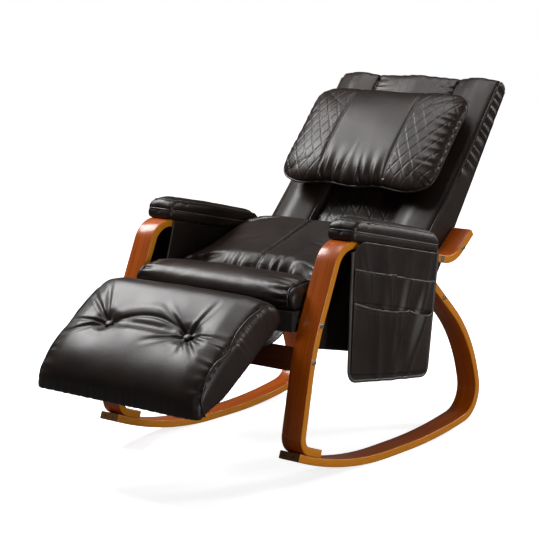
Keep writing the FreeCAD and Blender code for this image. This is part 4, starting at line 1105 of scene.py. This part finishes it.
PILLOW_HALF, PILLOW_LOW, PILLOW_HIGH = 0.257, -0.024, 0.302
PILLOW_EDGE, PILLOW_RISE, PILLOW_SEAM = 0.046, 0.042, 0.108
CORNER_POWER = 7
QUILT_WIDE, QUILT_TALL = 0.034, 0.054
across, up = ((300, 180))


def pillow_outline(u, w):
    """Places in the pillow's outline for square coordinates from -1 to 1, with rounded corners."""
    reach = np.maximum(np.abs(u), np.abs(w))
    bound = (np.abs(u) ** CORNER_POWER + np.abs(w) ** CORNER_POWER) ** (1 / CORNER_POWER)
    scale = reach / np.maximum(bound, 1e-9)
    u, w = u * scale, w * scale
    x = u * (PILLOW_HALF - 0.008 * (1 - w ** 2))
    low = PILLOW_LOW + 0.006 * (1 - np.abs(u) ** 2) - 0.004 * np.cos(3 * pi * u)
    high = PILLOW_HIGH - 0.010 * (1 - u ** 2)
    return x, low + (high - low) * (w + 1) / 2, reach


def pillow_lift(spots, low_edge, left_edge, right_edge):
    """How far seams, quilting and gathers move the pillow's front out."""
    ends = facing(np.abs(spots[:, 0]), PILLOW_SEAM, PILLOW_SEAM + 0.006)
    quilt = diamonds(np.abs(spots[:, 0]) - PILLOW_SEAM, spots[:, 1], QUILT_WIDE, QUILT_TALL)
    lift = ends * (0.0005 - 0.0010 * quilt)
    for sign in (1, -1):
        seam = [(sign * PILLOW_SEAM, 0, 0), (sign * PILLOW_SEAM, 0.3, 0)]
        lift += groove(spots * (1, 1, 0), seam, depth=0.0040, width=0.0050)
    lift += (1.15 - ends) * gathers(spots, low_edge, height=0.0072, spacing=0.031, reach=0.058, seed=61)
    lift += gathers(spots, left_edge, height=0.0042, spacing=0.026, reach=0.044, seed=63)
    lift += gathers(spots, right_edge, height=0.0014, spacing=0.026, reach=0.036, seed=65)
    return lift + mottled(spots, height=0.0030, scale=9, seed=15)


u, w = np.meshgrid(np.linspace(-1, 1, across), np.linspace(-1, 1, up))
x, y, reach = pillow_outline(u, w)
rounded = np.clip(1 - reach ** 3.2, 0, 1) ** 0.46
crown = (np.clip(1 - np.abs(u) ** 4, 0, 1) * np.clip(1 - np.abs(w) ** 2.8, 0, 1)) ** 0.42
front_z = PILLOW_EDGE + PILLOW_RISE * (0.45 * rounded + 0.55 * crown)
rear_z = PILLOW_EDGE * (1 - 0.92 * np.clip(1 - reach ** 5, 0, 1) ** 0.6)
rim = np.stack([x, y, np.full_like(x, PILLOW_EDGE)], 2)
front_spots = np.stack([x, y, front_z], 2).reshape(-1, 3)
rear_spots = np.stack([x, y, rear_z], 2).reshape(-1, 3)
inside = (reach < 1 - 1e-9).ravel()
lift = pillow_lift(front_spots, rim[0], rim[:, -1], rim[:, 0])
front_spots[:, 2] += np.where(inside, lift, 0)
rear_index = np.arange(len(front_spots))
rear_index[inside] = len(front_spots) + np.arange(inside.sum())
pillow_faces = grid_faces(up, across)
rear_faces = [tuple(int(rear_index[corner]) for corner in reversed(face)) for face in pillow_faces]
pillow_points = PILLOW.world(np.vstack([front_spots, rear_spots[inside]]))
pillow = mesh_piece("pillow_hide", pillow_points, pillow_faces + rear_faces)
hide(pillow, "head_pillow", fill=0.8, body="pillow")
skin = front_spots.reshape(up, across, 3)
outline = np.vstack([skin[0], skin[1:, -1], skin[-1, -2::-1], skin[-2:0:-1, 0]])
welt("pillow_piping", PILLOW.world(outline), "pillow", 0.0032, closed=True)
pillow_surface = surface_of(pillow)
pillow_lines = []
for x in (-PILLOW_SEAM - 0.004, PILLOW_SEAM - 0.004, PILLOW_SEAM + 0.005):
    pillow_lines.append(dropped(pillow_surface, PILLOW, np.linspace((x, 0.012, 0.05), (x, 0.280, 0.05), 60)))
sewn("pillow_stitching", pillow_surface, pillow_lines, "pillow")


# Arm pads: boxed pads with a welt round the side and an inset top seam

ARM_MID_X, ARM_HALF, ARM_ROUND = 0.295, 0.039, 0.016
ARM_FRONT, ARM_REAR = -0.026, 0.346
ARM_SWELL, ARM_RISE = 0.0038, 1.16
ARM_GIRTH, ARM_CREST = 0.022, 0.049
TOP_SEAM_INSET, TOP_SEAM_FRONT, CAP_SEAM = 0.012, 0.018, 0.030


def stadium(inset):
    """Closed rounded rectangle in plan, set in from the pad's sides."""
    half = ARM_HALF - inset
    low, high = ARM_FRONT + inset, ARM_REAR - inset
    round_by = min(ARM_ROUND, half * 0.7)
    line = []
    for x, y, start in ((half, low, -90), (half, high, 0), (-half, high, 90), (-half, low, 180)):
        centre = (x - np.sign(x) * round_by, y + (round_by if y == low else -round_by))
        for turn in np.radians(start + np.linspace(0, 90, 7)):
            line.append((centre[0] + round_by * cos(turn), centre[1] + round_by * sin(turn), 0))
    return resampled(line, 0.006, closed=True)


for side, sign in SIDES:
    arm_pad = upholstered(f"{side}_arm_pad_hide", f"{side}_arm_pad")
    arm_spots = ARM.local(coords(arm_pad))
    arm_spots[:, 2] *= np.where(arm_spots[:, 2] > 0, ARM_RISE, 1)
    set_coords(arm_pad, ARM.world(arm_spots))
    mid = np.array([sign * ARM_MID_X, 0, 0])
    top_seam = stadium(TOP_SEAM_INSET)
    top_seam = top_seam[top_seam[:, 1] > TOP_SEAM_FRONT] + mid
    cap_seam = np.array([(-0.04, CAP_SEAM, 0), (0.04, CAP_SEAM, 0)]) + mid
    front_notch = np.array([(0, ARM_FRONT, 0.016), (0, ARM_FRONT + 0.010, 0.040)]) + mid

    def arm_folds(spots, toward):
        top = facing(toward[:, 2])
        flat = spots * (1, 1, 0)
        amount = top * groove(flat, top_seam, depth=0.0026, width=0.0045)
        amount += top * groove(flat, cap_seam, depth=0.0022, width=0.0045)
        amount += groove(spots, front_notch, depth=0.0032, width=0.0045)
        amount -= (1 - top) * 0.0020 * bell(spots[:, 2] - ARM_GIRTH, 0.004)
        return amount + mottled(spots, height=0.0009, scale=18, seed=20 + sign) + ARM_SWELL

    shaped(arm_pad, ARM, arm_folds)
    hide(arm_pad, f"{side}_arm_pad", fill=0.9)
    arm_surface = surface_of(arm_pad)
    # The arm welts use the light binding leather: a painted highlight along them.
    girdle, _ = seated(arm_surface, ARM.world(stadium(0.0) + mid + (0, 0, ARM_GIRTH)), 0.0006)
    welt(f"{side}_arm_welt", girdle, radius=0.0019, closed=True, look=PAINTED_HIGHLIGHT_BINDING)
    top_edge, _ = seated(arm_surface, ARM.world(stadium(0.004) + mid + (0, 0, ARM_CREST)), 0.0004)
    welt(f"{side}_arm_top_welt", top_edge, radius=0.0018, closed=True, look=PAINTED_HIGHLIGHT_BINDING)


# Side pouches: a bound panel with an upper row and a lower row of pockets

POUCH_X, POUCH_THICK, POCKET_THICK = 0.3358, 0.0026, 0.0022
POUCH_TOP, POUCH_DROPS, POUCH_LEANS = 0.372, (0.354, 0.328), (2.8, 8.0)
POUCH_ROUND, POUCH_TUCK, POUCH_CORNER = 0.026, 0.012, 0.030
POUCH_FOLDS = ((0.10, 0.26, 0.045), (0.38, 0.14, 0.055), (0.66, -0.16, 0.050), (0.90, -0.20, 0.045))
FOLD_HEIGHT, FOLD_SEED, FOLD_SHIFT = 0.0115, 81, 0.03
STRIP_SEAM = 0.045
POCKETS = {
    "upper": {
        "mouth": 0.082, "foot": 0.160, "gap": 0.0075, "dip": 0.003, "step": 0.003, "hem_row": 4,
        "seams": (0.02, 0.50, 0.98),
    },
    "lower": {
        "mouth": 0.164, "foot": 0.338, "gap": 0.0150, "dip": 0.010, "step": 0, "hem_row": 3,
        "seams": (0.02, 0.66, 0.98),
    },
}
pouch_steps = 110
slope = ahead(-ARM_SLOPE)
pouch_front = arm_start - 0.030 * slope - right_of(-ARM_SLOPE) * 0.014


def between(pair, share):
    return pair[0] + (pair[1] - pair[0]) * share


def pouch_spots(sign, u, drop, out):
    """Places on a pouch: share along its top, distance down from it, and how far it stands out."""
    lean = np.radians(between(POUCH_LEANS, u))
    top = pouch_front + np.multiply.outer(u, POUCH_TOP * slope)
    yz = top + np.stack([-np.sin(lean), -np.cos(lean)], -1) * drop[..., None]
    x = sign * (POUCH_X + out + pouch_folds(u, drop))
    return np.concatenate([x[..., None], yz], -1)


def pouch_folds(u, drop):
    """Soft diagonal folds of hanging leather: how far each place stands out."""
    v = drop / POUCH_DROPS[0]
    amount = np.zeros_like(u)
    rng = np.random.default_rng(FOLD_SEED)
    for place, slant, wide in POUCH_FOLDS:
        shift = rng.uniform(-FOLD_SHIFT, FOLD_SHIFT)
        fold = bell(u - place - shift - slant * v, wide)
        amount += FOLD_HEIGHT * fold * (0.35 + 0.65 * np.sin(pi * v) ** 2)
    return amount


def belly(u, seams):
    """Rounded share from 0 on the seams to 1 between them."""
    share = np.zeros_like(u)
    for first, last in zip(seams[:-1], seams[1:]):
        part = np.clip((u - first) / (last - first), 0, 1)
        share = np.where((u >= first) & (u <= last), np.sin(pi * part) ** 0.7, share)
    return share


for side, sign in SIDES:
    u, v = np.meshgrid(np.linspace(0, 1, pouch_steps), np.linspace(0, 1, pouch_steps))
    tuck = POUCH_TUCK + POUCH_CORNER * bell(u, 0.06)
    foot = between(POUCH_DROPS, u)
    drop = tuck + v * (foot - tuck)
    into_corner = np.clip(POUCH_ROUND - (foot - drop), 0, None)
    inset = POUCH_ROUND - np.sqrt(np.clip(POUCH_ROUND ** 2 - into_corner ** 2, 0, None))
    u = u * (1 - 2 * inset / POUCH_TOP) + inset / POUCH_TOP
    skin = pouch_spots(sign, u, drop, 0)
    panel_name = f"{side}_pouch_hide"
    parts = [hung_sheet(panel_name, skin, POUCH_THICK, f"{side}_pouch_panel")]
    border = relaxed(resampled(np.vstack([skin[:, 0], skin[-1, 1:], skin[-2::-1, -1]]), LINE_STEP), 2)
    # The pouch binding's light leather is a painted highlight.
    dress(tube(f"{side}_pouch_binding", border, 0.0042, flat=0.75), PAINTED_HIGHLIGHT_BINDING, "chair")
    seam_lines = [pouch_spots(sign, np.full(60, STRIP_SEAM), np.linspace(0.012, 0.325, 60), 0.0016)]
    for row, form in POCKETS.items():
        seams = form["seams"]
        u, v = np.meshgrid(np.linspace(seams[0], seams[-1], pouch_steps), np.linspace(0, 1, pouch_steps // 2))
        bulge = belly(u, seams)
        mouth = form["mouth"] + form["dip"] * bulge + np.where(u > 0.5, form["step"], 0)
        foot = np.minimum(form["foot"], between(POUCH_DROPS, u) - 0.014)
        rise = POUCH_THICK + form["gap"] * bulge * (1 - v) ** 0.8 * (0.35 + 0.65 * np.cos(pi * v / 2))
        skin = pouch_spots(sign, u, mouth + (foot - mouth) * v, rise)
        pocket = f"{side}_{row}_pocket"
        parts.append(hung_sheet(f"{pocket}_hide", skin, POCKET_THICK, pocket))
        # The pocket lip's light leather is a painted highlight.
        lip = tube(f"{pocket}_lip", resampled(skin[0], LINE_STEP), 0.0026, flat=0.8)
        dress(lip, PAINTED_HIGHLIGHT_BINDING, "chair")
        seam_lines.append(skin[form["hem_row"]] + (sign * 0.0013, 0, 0))
    whole = bmesh.new()
    for part in parts:
        whole.from_mesh(part.data)
    sewn(f"{side}_pouch_stitching", BVHTree.FromBMesh(whole), [relaxed(line, 2) for line in seam_lines])
    whole.free()


# Side curtains under the arms, gusset behind the footrest and cloth under the seat

CURTAIN_X, CURTAIN_TOP, CURTAIN_SWAY = 0.2622, -0.0015, 0.0016
CURTAIN_THICK, CURTAIN_FLAT = 0.0018, (0.392, 0.296)
CORNER_WAYS = ((-0.15, 1), (0.15, 1), (0.5, -1), (-0.5, -1))


def outline_corners(node_name, place):
    """Front top, rear top, rear foot and front foot of a hanging sheet, as (y, z) in a local frame."""
    spots = place.local(coords(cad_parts[node_name]))[:, 1:]
    return [spots[np.argmax(spots @ np.array(way))] for way in CORNER_WAYS]


for side, sign in SIDES:
    corners = outline_corners(f"{side}_curtain", ARM)
    corners[0][1] = corners[1][1] = CURTAIN_TOP
    u, v = np.meshgrid(np.linspace(0, 1, 80), np.linspace(0, 1, 60))
    shares = ((1 - u) * (1 - v), u * (1 - v), u * v, (1 - u) * v)
    yz = sum(share[..., None] * corner for share, corner in zip(shares, corners))
    sway = CURTAIN_SWAY * np.sin(2 * pi * (2.3 * u + 0.25 * v)) * v
    hang = ARM.world(np.dstack([sign * (CURTAIN_X + sway), yz]))
    node, held_by = f"{side}_curtain", f"{side}_leg_arm_ply"
    curtain = hung_sheet(f"{node}_hide", hang, CURTAIN_THICK, node)
    # The curtain's front piping uses the light binding leather: a painted highlight.
    welt(f"{side}_curtain_front_piping", hang[:, 0], radius=0.0022, look=PAINTED_HIGHLIGHT_BINDING)
    welt(f"{side}_curtain_hem", hang[-1], radius=0.0018)
    sewn(f"{side}_curtain_stitching", surface_of(curtain), [hang[5], hang[-4]])

GUSSET_HALF, GUSSET_EXTRA, GUSSET_THICK = 0.236, 1.12, 0.0018
GUSSET_SAG, PLEAT_HIGH, PLEATS = 0.014, 0.0026, 13
gusset_foot = FOOT.world((0, -0.084, 0.0007))
gusset_seat = SEAT.world((0, -0.028, -0.0203))
gusset_run = (gusset_seat - gusset_foot)[1:]
gusset_out = np.array([gusset_run[1], -gusset_run[0]]) / float(np.hypot(*gusset_run))
gusset_out *= -np.sign(gusset_out[1])
u, v = np.meshgrid(np.linspace(-1, 1, 180), np.linspace(0, 1, 30))
pleat = PLEAT_HIGH * np.sin(2 * pi * u * PLEATS + 1.4 * np.sin(5 * u)) * np.sin(pi * v)
depth = GUSSET_SAG * 4 * v * (1 - v) + pleat
yz = gusset_foot[1:] + v[..., None] * gusset_run + depth[..., None] * gusset_out
gusset, gusset_area = sheet_piece("gusset_hide", np.dstack([GUSSET_HALF * u, yz]), GUSSET_THICK)
gusset.data.materials.append(HIDE)
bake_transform(gusset)
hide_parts("hinge_gusset")

DUST_HALF, DUST_WIDE, DUST_FRONT, DUST_LONG, DUST_LEVEL = 0.257, 0.520, -0.020, 0.318, -0.0212
DUST_SAG, DUST_RIPPLE, DUST_THICK = 0.0285, 0.0012, 0.0012
u, v = np.meshgrid(np.linspace(-1, 1, 100), np.linspace(0, 1, 70))
sag = DUST_SAG * 4 * v * (1 - v) * (1 - np.abs(u) ** 5)
ripple = DUST_RIPPLE * np.sin(2 * pi * (3 * u + 1.5 * v)) * np.sin(pi * v) * (1 - u ** 4)
dust_grid = SEAT.world(np.dstack([DUST_HALF * u, DUST_FRONT + DUST_LONG * v, DUST_LEVEL - sag - ripple]))
dust, dust_area = sheet_piece("dust_cover_cloth", dust_grid, DUST_THICK)
dress(dust, COVER_CLOTH, "chair", ["dust_cover"])


# Stage, light and camera

FLOOR_HALF = 9
FLOOR_NEAR_FAR, FLOOR_GLOW = (0.5, 2.2), (0.78, 1.1)
CAMERA_PLACE, CAMERA_DIP, CAMERA_TURN = (2.803, -3.502, 1.234), 9.93, 39
SENSOR_WIDTH, FOCAL_LENGTH = 36, 118.07

floor_corners = [(x * FLOOR_HALF, y * FLOOR_HALF, 0) for x, y in ((-1, -1), (1, -1), (1, 1), (-1, 1))]
floor = mesh_piece("floor", floor_corners, [(0, 1, 2, 3)])
pale = Look("pale_floor")
far = pale.made("VectorMath", "Value", {0: pale.spot()}, operation="LENGTH")
glow = pale.stretch(far, FLOOR_NEAR_FAR, FLOOR_GLOW, interpolation_type="SMOOTHSTEP")
seen = pale.camera_ray()
floor.data.materials.append(pale.finished({
    "Base Color": pale.mix(seen, grey(0.14), grey(0.86)),
    "Roughness": 0.7,
    "Emission Color": grey(1),
    "Emission Strength": pale.math("MULTIPLY", glow, seen),
}))

world = bpy.data.worlds.new("studio")
world.use_nodes = True
sky = Nodes(world.node_tree, "Background")
height = sky.axis(sky.spot("Generated"), "Z")
tone = sky.ramp(height, (0.0, grey(0.10)), (0.25, grey(0.05)), (1.0, grey(0.09)))
sky.feed(sky.end, {"Color": sky.mix(sky.camera_ray(), tone, grey(1)), "Strength": 1.0})
scene.world = world


def soft_light(name, place, aim, size, power):
    lamp = bpy.data.lights.new(name, "AREA")
    lamp.shape = "RECTANGLE"
    lamp.size, lamp.size_y = size
    lamp.energy = power
    light = new_piece(name, lamp)
    light.location = place
    light.rotation_euler = (Vector(aim) - Vector(place)).to_track_quat("-Z", "Y").to_euler()


soft_light("overhead", (-0.3, 0.1, 3.0), aim=(0, 0.2, 0.3), size=(1.4, 1.4), power=32)
soft_light("left_high", (-1.75, -0.35, 2.2), aim=(0, -0.1, 0.5), size=(1.0, 0.9), power=56)
soft_light("near_rear", (2.2, 2.6, 1.8), aim=(0, 0.3, 0.5), size=(0.6, 1.0), power=34)
soft_light("near_low", (2.9, -0.35, 0.75), aim=(0, 0.1, 0.45), size=(0.5, 0.8), power=25)
soft_light("rear_fill", (0.6, 3.6, 1.7), aim=(0, 0.4, 0.6), size=(1.6, 1.2), power=22)
soft_light("front_fill", (1.9, -3.6, 1.5), aim=(0, 0, 0.4), size=(1.8, 1.4), power=7)

camera = bpy.data.cameras.new("photo_camera")
camera.sensor_width = SENSOR_WIDTH
camera.lens = FOCAL_LENGTH
camera_object = new_piece("photo_camera", camera)
camera_object.location = CAMERA_PLACE
camera_object.rotation_euler = (radians(90 - CAMERA_DIP), 0, radians(CAMERA_TURN))
scene.camera = camera_object
scene.view_settings.view_transform = "Standard"
